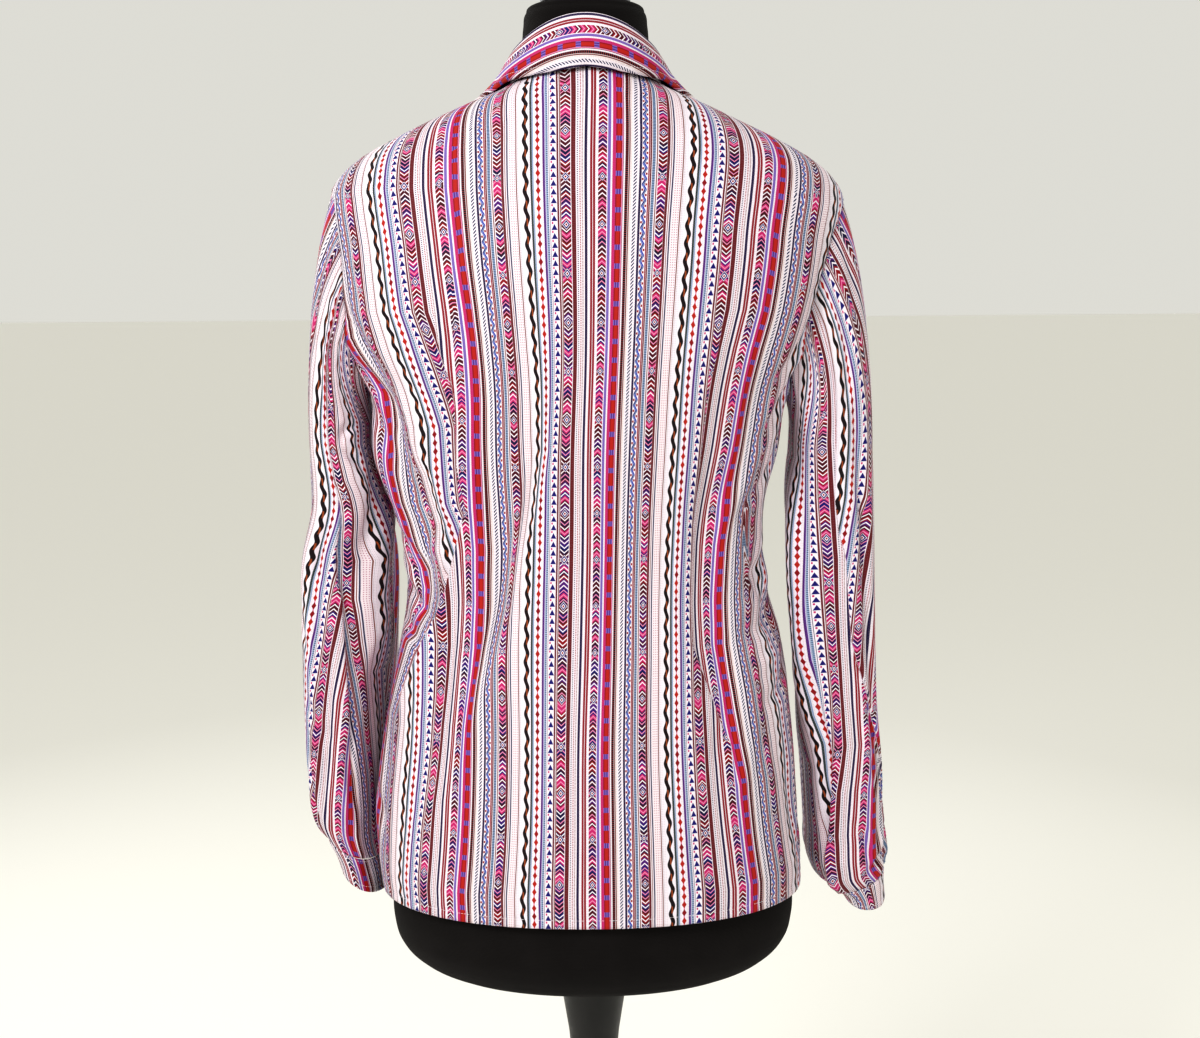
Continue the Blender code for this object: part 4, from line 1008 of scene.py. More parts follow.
for side, word in ((1, "left"), (-1, "right")):
    points, places, levels, lengths = panel(lambda level: edge_place(side, level, False),
                                            middle_edge(side, BAND_SEAM), FRONT_COLUMNS, sewn=(True, False))
    across = (2.0 * side - places) * lengths + FRONT_PRINT[word]
    cloth(f"front_{word}_panel", f"front_{word}", points, across, hem_along(points), centre=CHEST)
points, places, levels, lengths = panel(middle_edge(1, -BAND_LEFT), middle_edge(1, BAND_RIGHT), BAND_COLUMNS,
                                        BAND_LIFT, BAND_SHORT, (False, False))
edge_drop = 0.0008 * np.exp(-((np.minimum(places - places[:, :1], places[:, -1:] - places) * lengths) / 0.0012) ** 2)
points = points - body(places, levels)[1] * edge_drop[..., None]
cloth("button_band_strip", "button_band", points, (places - 2.0) * lengths + 0.0135, hem_along(points),
      thick=0.0011, centre=CHEST)

# %% [markdown]
# ## Sleeves and cuffs
# A sleeve starts as a loop at the armhole, drops over the shoulder's edge and hangs as a flat, wide tube that
# is gathered into its cuff. The head is a smooth curve between two loops, and below it the tube is read
# from its table. The turn goes from the outermost line (0) over the back (90) to the inner side (180).
# %% Sections and folds of the sleeves
# Columns: height, the middle sideways and along Y, half width, half depth, squareness, tilt, swing in degrees
SLEEVE_LEFT = (
    (1.185, 0.2073, -0.022, 0.0275, 0.063, 2.4, 0.1, 0.0),
    (1.13, 0.204, -0.026, 0.0312, 0.064, 2.6, 0.0, 1.0),
    (1.086, 0.2062, -0.028, 0.031, 0.0635, 2.8, 0.0, 12.0),
    (1.018, 0.208, -0.03, 0.0312, 0.0625, 2.8, 0.0, 14.0),
    (0.956, 0.2105, -0.031, 0.0308, 0.061, 2.8, 0.0, 12.0),
    (0.9, 0.2125, -0.032, 0.0295, 0.059, 2.7, 0.06, 10.0),
    (0.862, 0.2125, -0.032, 0.0283, 0.056, 2.6, 0.2, 9.0),
    (0.843, 0.2105, -0.033, 0.0262, 0.052, 2.5, 0.4, 9.0),
    (0.83, 0.2075, -0.033, 0.0228, 0.047, 2.4, 0.55, 9.0),
)
SLEEVE_RIGHT = (
    (1.178, 0.205, -0.024, 0.0335, 0.062, 2.7, 0.1, 0.0),
    (1.13, 0.2055, -0.029, 0.0343, 0.064, 3.0, 0.0, 1.0),
    (1.049, 0.2078, -0.031, 0.034, 0.063, 3.1, 0.0, 2.0),
    (0.963, 0.2128, -0.032, 0.0315, 0.061, 3.0, 0.0, 3.0),
    (0.884, 0.2187, -0.032, 0.0315, 0.059, 2.8, 0.05, 3.0),
    (0.84, 0.2225, -0.032, 0.0328, 0.057, 2.6, 0.12, 2.0),
    (0.814, 0.2252, -0.032, 0.0328, 0.0545, 2.5, 0.22, 1.0),
    (0.802, 0.2288, -0.032, 0.0286, 0.05, 2.4, 0.35, 0.0),
    (0.794, 0.2345, -0.032, 0.0225, 0.045, 2.4, 0.45, 0.0),
)
SLEEVE_LEFT_FOLDS = (
    (0.86, 1.25, 94, 74, 0.005, 9),
    (0.84, 1.2, 245, 262, 0.005, 11),
    (0.9, 1.16, 20, 28, 0.003, 9),
)
SLEEVE_RIGHT_FOLDS = (
    (0.9, 1.26, 52, 76, 0.005, 9),
    (0.84, 1.18, 258, 246, 0.005, 11),
    (0.83, 0.96, 128, 112, 0.0035, 10),
)
CUFF_LEFT = (
    (0.8294, 0.2075, -0.033, 0.0228, 0.047, 2.4, 0.55, 9.0),
    (0.813, 0.2034, -0.033, 0.0196, 0.0425, 2.3, 0.6, 9.0),
    (0.797, 0.2, -0.033, 0.0185, 0.042, 2.3, 0.62, 9.0),
)
CUFF_RIGHT = (
    (0.7934, 0.2345, -0.032, 0.0225, 0.045, 2.4, 0.45, 0.0),
    (0.783, 0.239, -0.032, 0.0186, 0.042, 2.3, 0.3, 0.0),
    (0.7725, 0.2415, -0.032, 0.0168, 0.0415, 2.3, 0.12, 0.0),
)
# Small creases: turn in degrees and height of each end, depth and half width. Around the elbow they slant.
LEFT_CREASES = (
    (176, 1.14, 176, 0.985, -0.015, 0.02), (132, 1.212, 98, 1.186, 0.0034, 0.005),
    (134, 1.16, 98, 1.18, 0.003, 0.005), (100, 1.3, 80, 1.2, 0.0026, 0.006), (60, 1.34, 66, 1.22, 0.0016, 0.007),
    (30, 1.25, 48, 1.12, 0.0018, 0.007), (46, 1.392, 40, 1.35, 0.0014, 0.004), (58, 1.39, 54, 1.345, 0.0016, 0.004),
    (72, 1.38, 70, 1.33, 0.0014, 0.004), (75, 1.12, 110, 1.05, 0.002, 0.006), (40, 1.06, 80, 1.0, 0.0016, 0.006),
    (60, 0.98, 100, 0.93, 0.002, 0.006), (20, 1.0, 30, 0.89, 0.002, 0.007), (62, 0.95, 70, 0.85, 0.0024, 0.005),
    (95, 0.93, 92, 0.845, 0.0022, 0.005), (150, 1.18, 160, 1.04, 0.0026, 0.008),
    (170, 1.05, 150, 0.94, -0.0022, 0.008), (130, 0.96, 128, 0.86, 0.0026, 0.006),
    (-30, 1.26, -50, 1.12, 0.002, 0.007), (-70, 1.16, -110, 1.06, 0.0022, 0.007),
    (-60, 1.02, -100, 0.96, 0.002, 0.007), (-90, 0.94, -84, 0.85, 0.0022, 0.006),
    (-140, 1.1, -150, 0.96, 0.0024, 0.008), (-20, 0.96, -24, 0.85, 0.0018, 0.006),
)
RIGHT_CREASES = (
    (172, 1.17, 172, 0.9, -0.014, 0.024), (78, 1.3, 96, 1.19, 0.0022, 0.006), (52, 1.35, 58, 1.24, 0.0016, 0.007),
    (24, 1.26, 36, 1.14, 0.0018, 0.007), (84, 1.16, 60, 1.08, 0.0018, 0.006), (50, 1.05, 86, 0.99, 0.0016, 0.006),
    (100, 0.99, 84, 0.9, 0.002, 0.006), (30, 0.96, 40, 0.83, 0.0022, 0.006), (66, 0.92, 60, 0.815, 0.0026, 0.005),
    (110, 0.9, 104, 0.82, 0.0024, 0.006), (152, 1.17, 146, 1.02, 0.0028, 0.008), (160, 1.0, 146, 0.88, -0.002, 0.008),
    (136, 0.9, 140, 0.82, 0.0024, 0.006), (16, 0.85, 78, 0.804, 0.0055, 0.006), (92, 0.86, 76, 0.798, 0.0042, 0.005),
    (44, 0.87, 50, 0.8, -0.002, 0.006), (-34, 1.27, -52, 1.13, 0.002, 0.007), (-74, 1.15, -104, 1.06, 0.0022, 0.007),
    (-58, 1.0, -98, 0.94, 0.002, 0.007), (-86, 0.93, -80, 0.82, 0.0022, 0.006),
    (-142, 1.08, -150, 0.94, 0.0024, 0.008), (-16, 0.94, -20, 0.83, 0.0018, 0.006),
)
# Laps: level, the line's place in millimetres to the right of the back's middle, hidden cloth; lip, sunk side
LEFT_LAPS = (
    (((1.4, -4.7, 88), (1.154, -4.7, 88), (1.087, 8.6, 72), (1.054, 17, 62), (0.968, 19, 26), (0.9, 19, 6),
      (0.87, 19, 0)), 0.0032, 1),
)
RIGHT_LAPS = (
    (((1.4, -2, 74), (1.24, -1, 75), (1.185, -2, 78), (1.136, -3, 84), (1.11, 0, 90), (1.085, 6.2, 95.5),
      (1.0165, 8, 104), (0.98, 16, 109), (0.951, 26, 114), (0.9, 40, 126), (0.79, 44, 126)), 0.0026, -1),
    (((1.0, -22, 0), (0.95, -20, 5), (0.916, -16, 12), (0.885, -18, 18), (0.846, -24, 28), (0.79, -28, 30)),
     0.0044, -1),
)
# The print's drift, in millimetres to the right: level, then at 45 and 20 left of the back's middle, at the
# middle and at 40 right of it
LEFT_DRIFT = ((0.851, 10, 10, 10.5, 14), (0.968, -13, -11, -6, -2), (1.054, -28, -27, -26, -26),
              (1.087, -31, -31, -31, -38), (1.145, -31, -31, -31, -28), (1.185, -31, -31, -28, -16),
              (1.222, -31, -31, -31, -30), (1.4, -31, -31, -31, -31))
RIGHT_DRIFT = ((0.846, 3, 4, 5, 6), (0.885, 0, 1, 1, 3), (0.925, -6, -8, -6, -4), (0.965, -9, -9.5, -6.2, -5.5),
               (1.0165, -9.5, -8, -6.5, -6.5), (1.085, -6.5, -5, -7.5, -7.5), (1.136, -3, -2, -5, -5),
               (1.185, -1, -1, -2, -2), (1.4, -1, -1, -1.7, -1.7))
print("sleeve laps:", len(LEFT_LAPS) + len(RIGHT_LAPS))


# %% The tube of a sleeve
def sleeve_section(table, side, turn, height):
    """Point of a sleeve's unfolded surface at a turn and a height."""
    middle, along, wide, deep, square, tilt, swing = read_table(table, height)
    c, s, swing = np.cos(turn), np.sin(turn), np.radians(swing)
    out = wide * np.sign(c) * np.abs(c) ** (2.0 / square)
    deep = deep * np.sign(s) * np.abs(s) ** (2.0 / square)
    return np.stack([side * (middle + out * np.cos(swing) + deep * np.sin(swing)),
                     along + deep * np.cos(swing) - out * np.sin(swing), height + tilt * out], axis=-1)


def sleeve_folds(folds, turns, height):
    """How far a sleeve's long folds move it out."""
    degrees = np.degrees(turns)
    sum_out = np.zeros(np.shape(turns))
    for low, high, turn_low, turn_high, depth, width in folds:
        f = float(np.clip((height - low) / (high - low), 0.0, 1.0))
        centre = turn_low + (turn_high - turn_low) * f
        x = (degrees - centre) / width
        strength = math.sin(math.pi * f) ** 0.8
        sum_out = sum_out - depth * strength * (1 - 0.5 * x * x) * np.exp(-0.5 * x * x)
    return sum_out


def ring_normals(points, away_from):
    """Outward normals of rows of points whose last point lies on their first."""
    wide = np.concatenate([points[:, -2:-1], points, points[:, 1:2]], axis=1)
    along = wide[:, 2:] - wide[:, :-2]
    normals = unit(np.cross(along, np.gradient(points, axis=0)))
    return normals * np.sign(np.sum(normals * (points - away_from), axis=-1).mean())


def armhole_loop(side, turns):
    """Points and normals of the armhole at turns from -180 to 180 degrees."""
    points, normals = [], []
    for turn in turns:
        level, depth = armhole(abs(turn))[0], armhole(turn)[1]
        place = place_of(side, float(level), float(depth), turn >= 0)
        point, normal = body(np.array([place]), float(level), -SEAM_SINK)
        points.append(point[0])
        normals.append(normal[0])
    return np.array(points), np.array(normals)


def sleeve_drift(table, heights, arc):
    """The print's drift at points of a sleeve, in metres."""
    rows = sorted(table)
    keys = [row[0] for row in rows]
    marks = [np.interp(heights, keys, [row[k] for row in rows]) for k in (1, 2, 3, 4)]
    moved = np.where(arc < -0.02, marks[1] + (marks[0] - marks[1]) * np.clip((-0.02 - arc) / 0.025, 0, 1.4),
                     marks[1] + (marks[2] - marks[1]) * np.clip((arc + 0.02) / 0.02, 0, 1))
    return 0.001 * (moved + (marks[3] - marks[2]) * np.clip(arc / 0.04, 0, 1.5))


SLEEVE_COLUMNS = 150
SLEEVE_ROUND = 0.052    # metres of cloth in one radian, near enough for a crease's width
HEAD_ROWS = 46
UNDERARM_LIFT = 0.0009
FALL_ROWS = 140
GATHERS = ((9, 0.4, 1.0), (14, 2.1, 0.8), (19, 4.0, 0.6), (6, 1.3, 0.7))


def sleeve(word, side, table, folds, creases, laps, drifts):
    """A sleeve from its armhole to its cuff."""
    turns = np.linspace(-math.pi, math.pi, SLEEVE_COLUMNS + 1)
    start, seam_normals = armhole_loop(side, turns)
    under = ease((math.pi - np.abs(np.abs(turns) - math.pi)) / math.pi * 3.0 - 1.7)[:, None]
    start = start + seam_normals * UNDERARM_LIFT * under
    join = table[0][0]
    end = sleeve_section(table, side, turns, np.full(turns.shape, join))
    below = sleeve_section(table, side, turns, np.full(turns.shape, join - 0.002))
    falling = unit(below - end)
    length = np.linalg.norm(end - start, axis=-1, keepdims=True)
    leaving = np.stack([side * (0.3 + 0.15 * np.sin(turns) ** 2), np.zeros(turns.shape),
                        np.full(turns.shape, -0.92)], axis=-1)
    rows = []
    head = np.linspace(0.0, 1.0, HEAD_ROWS + 1)[:-1]
    for f in head:
        rows.append(start * (1 + 2 * f) * (1 - f) ** 2 + leaving * length * f * (1 - f) ** 2
                    + end * f * f * (3 - 2 * f) - falling * length * f * f * (1 - f))
    falls = join + (table[-1][0] - join) * np.linspace(0.0, 1.0, FALL_ROWS + 1)
    for height in falls:
        rows.append(sleeve_section(table, side, turns, np.full(turns.shape, height)))
    outer = np.array(rows)
    normals = ring_normals(outer, outer.mean(axis=1, keepdims=True))
    ramp = np.concatenate([head * 6.0, np.full(FALL_ROWS + 1, 6.0)])
    share = np.maximum(ease(ramp / 3.0)[:, None, None], under[None])
    normals = unit(seam_normals[None] * (1 - share) + normals * share)
    heights = np.repeat(outer[:, :, 2].mean(axis=1)[:, None], len(turns), axis=1)
    arc = run_along(outer)
    back_column = np.argmin(np.abs(turns - 0.5 * math.pi))
    arc = side * (arc - arc[:, back_column:back_column + 1])
    shift = np.array([sleeve_folds(folds, np.mod(turns, math.tau), float(h)) for h in heights[:, 0]])
    unrolled = [(math.radians(a) * SLEEVE_ROUND, b, math.radians(c) * SLEEVE_ROUND, *rest)
                for a, b, c, *rest in creases]
    for lapse in (-1, 0, 1):
        shift += creases_at(unrolled, np.broadcast_to((turns + lapse * math.tau) * SLEEVE_ROUND, arc.shape), heights)
    lapped = []
    for lines, lip, sunk in laps:
        beyond = arc - 0.001 * line_at(lines, heights, 1)
        strength = np.clip(line_at(lines, heights, 2) / 20.0, 0.0, 1.0)
        shift -= lip * strength * np.tanh(sunk * beyond / 0.0011) * np.exp(-np.abs(beyond) / 0.008)
        lapped.append((lines, beyond))
    shift *= np.clip(ramp, 0.0, 1.0)[:, None]
    low = table[-1][0]
    w = np.clip((heights - low) / 0.06, 0.0, 1.0)
    ripple = sum(size * np.sin(count * turns + phase) for count, phase, size in GATHERS)
    shift += 0.001 * ripple * w ** 0.5 * (1 - w) ** 1.4 * 2.2
    points = outer + normals * shift[..., None]
    across = arc + sleeve_drift(drifts, heights, arc)
    along = np.broadcast_to(-run_up(points).mean(axis=1, keepdims=True), arc.shape)
    marks = []
    for number, (lines, beyond) in enumerate(lapped):
        hidden = 0.001 * line_at(lines, heights, 2)
        marks.append((beyond, hidden) if number == 0 else (-beyond, -hidden))
    cloth(f"sleeve_{word}_tube", f"sleeve_{word}", points, across, along, marks, centre=(side * 0.21, -0.03, 1.0))


sleeve("left", 1, SLEEVE_LEFT, SLEEVE_LEFT_FOLDS, LEFT_CREASES, LEFT_LAPS, LEFT_DRIFT)
sleeve("right", -1, SLEEVE_RIGHT, SLEEVE_RIGHT_FOLDS, RIGHT_CREASES, RIGHT_LAPS, RIGHT_DRIFT)

# %% The cuffs
CUFF_LAP, CUFF_LAP_TURN = 28, 300               # degrees of overlap, and the turn where it starts
LAP_RISE = (0.45, 0.05)                         # radians before the overlap where it starts and ends to rise
CUFF_RAISE = 0.0021
BAND_CLOTH = 0.0014     # thickness of the cuffs and the collar stand
CUFF_COLUMNS, CUFF_ROWS = 140, 22


def cuff(word, side, table):
    """A cuff with its button end laid over the other. Gives its grid, and its button's point and normal."""
    start = math.radians(CUFF_LAP_TURN)
    turns = start + np.linspace(0.0, math.tau + math.radians(CUFF_LAP), CUFF_COLUMNS + 1)
    raised = CUFF_RAISE * ease((turns - start - math.tau + LAP_RISE[0]) / (LAP_RISE[0] - LAP_RISE[1]))
    heights = table[0][0] + (table[-1][0] - table[0][0]) * np.linspace(0.0, 1.0, CUFF_ROWS + 1)
    points, ways = [], []
    for row, level in enumerate(heights):
        height = np.full(turns.shape, level)
        ring = sleeve_section(table, side, turns, height)
        ahead = sleeve_section(table, side, turns + 0.01, height)
        way = unit(np.cross(ahead - ring, np.array([0.0, 0.0, side])))
        to_edge = min(row, CUFF_ROWS - row)
        puffed = 0.0006 * (1 - math.exp(-to_edge / 1.2)) + 0.0004 * np.sin(7.0 * turns + row * 0.2) * (to_edge > 1)
        points.append(ring + way * (raised + puffed)[:, None])
        ways.append(way)
    points, ways = np.array(points), np.array(ways)
    across = np.broadcast_to(side * run_along(points[0]) + 0.03, points.shape[:2])
    cloth(f"cuff_{word}_band", f"cuff_{word}", points, across, -run_up(points), thick=BAND_CLOTH)
    at = -1 - round(0.5 * CUFF_LAP / (360 + CUFF_LAP) * CUFF_COLUMNS)
    middle = CUFF_ROWS // 2
    normal = np.cross(points[middle][at + 1] - points[middle][at - 1], points[middle + 1][at] - points[middle - 1][at])
    normal *= np.sign(np.dot(normal, ways[middle][at]))
    return points, points[middle][at], unit(normal)


cuffs = {"left": cuff("left", 1, CUFF_LEFT), "right": cuff("right", -1, CUFF_RIGHT)}
print("cuff buttons at", *(spot.round(3) for grid, spot, way in cuffs.values()))

# %% [markdown]
# ## Collar
# The collar stands on a band round the neck, turns over at its top and falls to its outer edge. Its stripes
# run round the neck, with the dark blue line just under the turn.
# %% The collar's stand and fall
STAND_BACK = 0.036      # height of the stand at the back, the sides and the front
STAND_SIDE = 0.019
STAND_FRONT = 0.022
STAND_LAP = 0.15        # how far the stand's button end passes the middle of the front
STAND_DIP = 0.3         # share by which the stand's ends are lower
STAND_IN = 0.0045       # how far the stand leans in over its height
ROLL = 0.003            # radius in which the collar turns over
COLLAR_OPEN = 0.07      # how far the collar's ends stay from the middle of the front
STAND_COLUMNS, COLLAR_COLUMNS = 200, 220
# Columns: place, then the place, height and lift of the collar's edge there
COLLAR_EDGE = (
    (0.0, 0.0, 1.4745, 0.0048),
    (0.5, 0.46, 1.4685, 0.0038),
    (1.0, 0.98, 1.463, 0.0026),
    (1.4, 1.33, 1.432, 0.0038),
    (1.7, 1.55, 1.396, 0.0048),
    (2.0, 1.7, 1.356, 0.0045),
)


def neck_point(place, lift, spread):
    """A point above the neckline, moved out sideways from it."""
    place = np.asarray(place, float)
    base, normal = body(place, neckline(place))
    flat = unit(normal * LEVEL)
    return base + flat * np.asarray(spread)[..., None] + np.array([0, 0, 1.0]) * np.asarray(lift)[..., None], flat


def stand_height(place):
    """Height of the collar stand round the neck."""
    reach = np.abs(np.clip(place, -2.0, 2.0))
    back = STAND_SIDE + (STAND_BACK - STAND_SIDE) * np.cos(0.5 * math.pi * np.minimum(reach, 1.0)) ** 1.5
    front = STAND_SIDE + (STAND_FRONT - STAND_SIDE) * np.sin(0.5 * math.pi * (np.maximum(reach, 1.0) - 1.0)) ** 2
    return np.where(reach <= 1.0, back, front)


def stand_point(places, share):
    """Point of the stand's outside at a share of its height, the way out, and its height."""
    height = stand_height(places) * (1.0 - STAND_DIP * ease((np.abs(places) - 2.0 + COLLAR_OPEN) / STAND_LAP))
    raised = CUFF_RAISE * ease((-1.6 - places) / 0.3)
    point, flat = neck_point(places, height * share, raised - STAND_IN * share - 0.0006 * (1 - share) ** 4)
    return point, flat, height


NECK = (0, 0, 1.47)
places = np.linspace(-2.0 - STAND_LAP, 2.0 + 0.5 * STAND_LAP, STAND_COLUMNS + 1)
stand_grid = np.array([stand_point(places, share)[0] for share in np.linspace(0.0, 1.0, 15)])
along = np.broadcast_to(run_along(stand_grid[7]), stand_grid.shape[:2])
cloth("collar_stand_band", "collar_stand", stand_grid, run_up(stand_grid) + 0.034, along, thick=BAND_CLOTH,
      centre=NECK)
spot, flat, height = stand_point(np.array([-2.0]), 0.5)
stand_spot = spot[0]
stand_way = unit(flat[0] * height[0] + np.array([0.0, 0.0, STAND_IN]))

COLLAR_CLOTH = 0.0016
limit = 2.0 - COLLAR_OPEN
places = np.linspace(-limit, limit, COLLAR_COLUMNS + 1)
reach, side = np.abs(places), np.sign(places)
edge_at, edge_height, lift = read_table(COLLAR_EDGE, reach)
edge = body(side * edge_at, edge_height - lean(places, edge_height), lift)[0]
foot, flat = neck_point(places, stand_height(places), np.full(places.shape, -STAND_IN))
up = np.array([0.0, 0.0, 1.0])
centre = foot + flat * (ROLL - COLLAR_CLOTH) + up * 0.001
path, faces = [], []
for turn in np.linspace(180.0, 10.0, 22):
    way = flat * math.cos(math.radians(turn)) + up * math.sin(math.radians(turn))
    path.append(centre + way * ROLL)
    faces.append(way)
start, control = path[-1], neck_point(places, np.full(places.shape, 0.006), np.full(places.shape, 0.012))[0]
for f in np.linspace(0.0, 1.0, 37)[1:]:
    path.append(start * (1 - f) ** 2 + control * 2 * f * (1 - f) + edge * f * f)
outer = np.array(path)
normals = unit(np.cross(np.gradient(outer, axis=1), np.gradient(outer, axis=0)))
normals *= np.sign(np.sum(normals[-1] * flat, axis=-1).mean())
for row, way in enumerate(faces):
    normals[row] = way
down = run_up(outer)
to_edge = down[-1:] - down
lengths = run_along(outer[34])
to_end = np.minimum(lengths, lengths[-1] - lengths)[None, :] + 0.0 * down
near = np.minimum(to_edge, to_end)
shift = -0.0007 * np.exp(-(near / 0.0012) ** 2) - 0.00035 * np.exp(-((near - 0.005) / 0.0009) ** 2)
shift += 0.0006 * np.sin(places * 9.0 + 0.6) * np.clip(1 - to_edge / 0.02, 0, 1)
collar_grid = outer + normals * shift[..., None]
TURN_ROW = 11           # the row on top of the turn
cloth("collar_fall", "collar", collar_grid, down - down[TURN_ROW] - 0.0035, np.broadcast_to(-lengths, down.shape),
      thick=COLLAR_CLOTH, centre=NECK)
print("the collar is", round(float((down[-1] - down[TURN_ROW])[COLLAR_COLUMNS // 2]), 4), "m deep at the back")

# %% [markdown]
# ## Sewing
# Top-stitching is a row of small thread dashes that lie half in the cloth. They are modelled, because a bump
# would vanish at the edges. Every row of stitches follows a line on its piece's own grid.
# %% Stitches on a grid
def on_grid(points, rows, columns):
    """Points and normals at fractional rows and columns of a grid."""
    rows, columns = np.clip(rows, 0, points.shape[0] - 1.001), np.clip(columns, 0, points.shape[1] - 1.001)
    r, c = rows.astype(int), columns.astype(int)
    fr, fc = (rows - r)[:, None], (columns - c)[:, None]
    a, b, p, q = points[r, c], points[r, c + 1], points[r + 1, c], points[r + 1, c + 1]
    place = a * (1 - fr) * (1 - fc) + b * (1 - fr) * fc + p * fr * (1 - fc) + q * fr * fc
    return place, unit(np.cross(q - a, b - p))


def spaced(place, normal, pitch, away_from):
    """Evenly spaced points on a line, the way it runs and the way out of the cloth."""
    run = run_along(place)
    marks = np.arange(0.5 * pitch, run[-1], pitch)

    def read(values, shift=0.0):
        return np.stack([np.interp(marks + shift, run, values[:, k]) for k in range(3)], axis=-1)

    at, out = read(place), read(normal)
    out *= np.sign(np.sum(out * (at - away_from)))
    return at, unit(read(place, 0.001) - read(place, -0.001)), unit(out)


STITCH_PITCH, STITCH_LENGTH, STITCH_RADIUS = 0.0027, 0.002, 0.00021


def stitches(name, lines, length=STITCH_LENGTH, radius=STITCH_RADIUS):
    """One piece made of small threads at (points, ways, normals)."""
    verts, faces = [], []
    for points, ways, normals in lines:
        sides = np.cross(normals, ways)
        for at, way, out, aside in zip(points, ways, normals, sides):
            first = len(verts)
            for share, size, rise in ((-0.5, 0.45, -0.6), (-0.3, 1.0, 0.25), (0.3, 1.0, 0.25), (0.5, 0.45, -0.6)):
                middle = at + way * length * share + out * radius * rise
                for k in range(5):
                    turn = math.tau * k / 5
                    verts.append(middle + (aside * math.cos(turn) + out * math.sin(turn)) * radius * size)
            faces += ring_faces(3, 5, first)
            faces += [tuple(range(first + 4, first - 1, -1)), tuple(range(first + 15, first + 20))]
    return piece(name, verts, faces, (thread,), "printed_cloth")


def body_line(places, levels, lift=0.0):
    """Stitches along a line on the blouse's body."""
    place, normal = body(np.asarray(places, float), levels, lift)
    return spaced(place, normal, STITCH_PITCH, np.array([0.0, 0.0, 1.1]))


HEM_LEVEL = LOW + HEM_TURN
stitches("back_hem_stitches", [body_line(np.linspace(-0.985, 0.985, 600), HEM_LEVEL, -0.0003)])
for word, first, last in (("left", 1.015, 1.9), ("right", -1.015, -1.85)):
    stitches(f"front_{word}_hem_stitches", [body_line(np.linspace(first, last, 300), HEM_LEVEL, -0.0003)])
band_levels = np.linspace(LOW + 0.004, 1.418, 400)
half_front = section(np.full(400, 1.95), band_levels)[1]
band_lines = [body_line(2.0 + offset / half_front, band_levels, BAND_LIFT + 0.00005)
              for offset in (-BAND_LEFT + 0.0055, BAND_RIGHT - 0.0055)]
stitches("band_stitches", band_lines)

# %% Stitches of the cuffs and the collar
COLLAR_INSET = 0.0052   # of the stitches from the collar's edges


def grid_line(points, rows, columns, away_from, pitch=STITCH_PITCH):
    place, normal = on_grid(points, np.asarray(rows, float), np.asarray(columns, float))
    return spaced(place, normal, pitch, np.asarray(away_from))


for word, (grid, spot, way) in cuffs.items():
    columns = np.linspace(2, CUFF_COLUMNS - 2, 500)
    middle = grid.reshape(-1, 3).mean(axis=0)
    stitches(f"cuff_{word}_stitches", [grid_line(grid, np.full(500, row), columns, middle) for row in (1.6, 18.6)])
last = len(collar_grid) - 1
numbers = np.arange(COLLAR_COLUMNS + 1)
down_rows = last - COLLAR_INSET / (to_edge[last - 1] + 1e-9)
columns = np.linspace(6, COLLAR_COLUMNS - 6, 900)
end_column = float(np.interp(COLLAR_INSET, lengths, numbers))
front_rows = np.linspace(24, float(down_rows[6]), 200)
collar_lines = [grid_line(collar_grid, np.interp(columns, numbers, down_rows), columns, (0, 0, 1.42))]
collar_lines += [grid_line(collar_grid, front_rows, np.full(200, column), (0, 0, 1.42))
                 for column in (end_column, COLLAR_COLUMNS - end_column)]
stitches("collar_stitches", collar_lines)
stitches("collar_stand_stitches",
         [grid_line(stand_grid, np.full(700, 1.2), np.linspace(3, STAND_COLUMNS - 3, 700), (0, 0, 1.45))])

# %% [markdown]
# ## Buttons
# The buttons are pale pearly resin, 11.4 mm across, with a rim, a dish and four holes with thread across. They
# could be cut with booleans; a round grid whose points dip at the holes is lighter and never breaks.
# %% A four-hole button
BUTTON_RADIUS, BUTTON_THICK, BUTTON_RIM, BUTTON_DISH, LAID_GAP = 0.0057, 0.0026, 0.0012, 0.0007, 0.0005
HOLE_OFF, HOLE_RADIUS = 0.00135, 0.00062


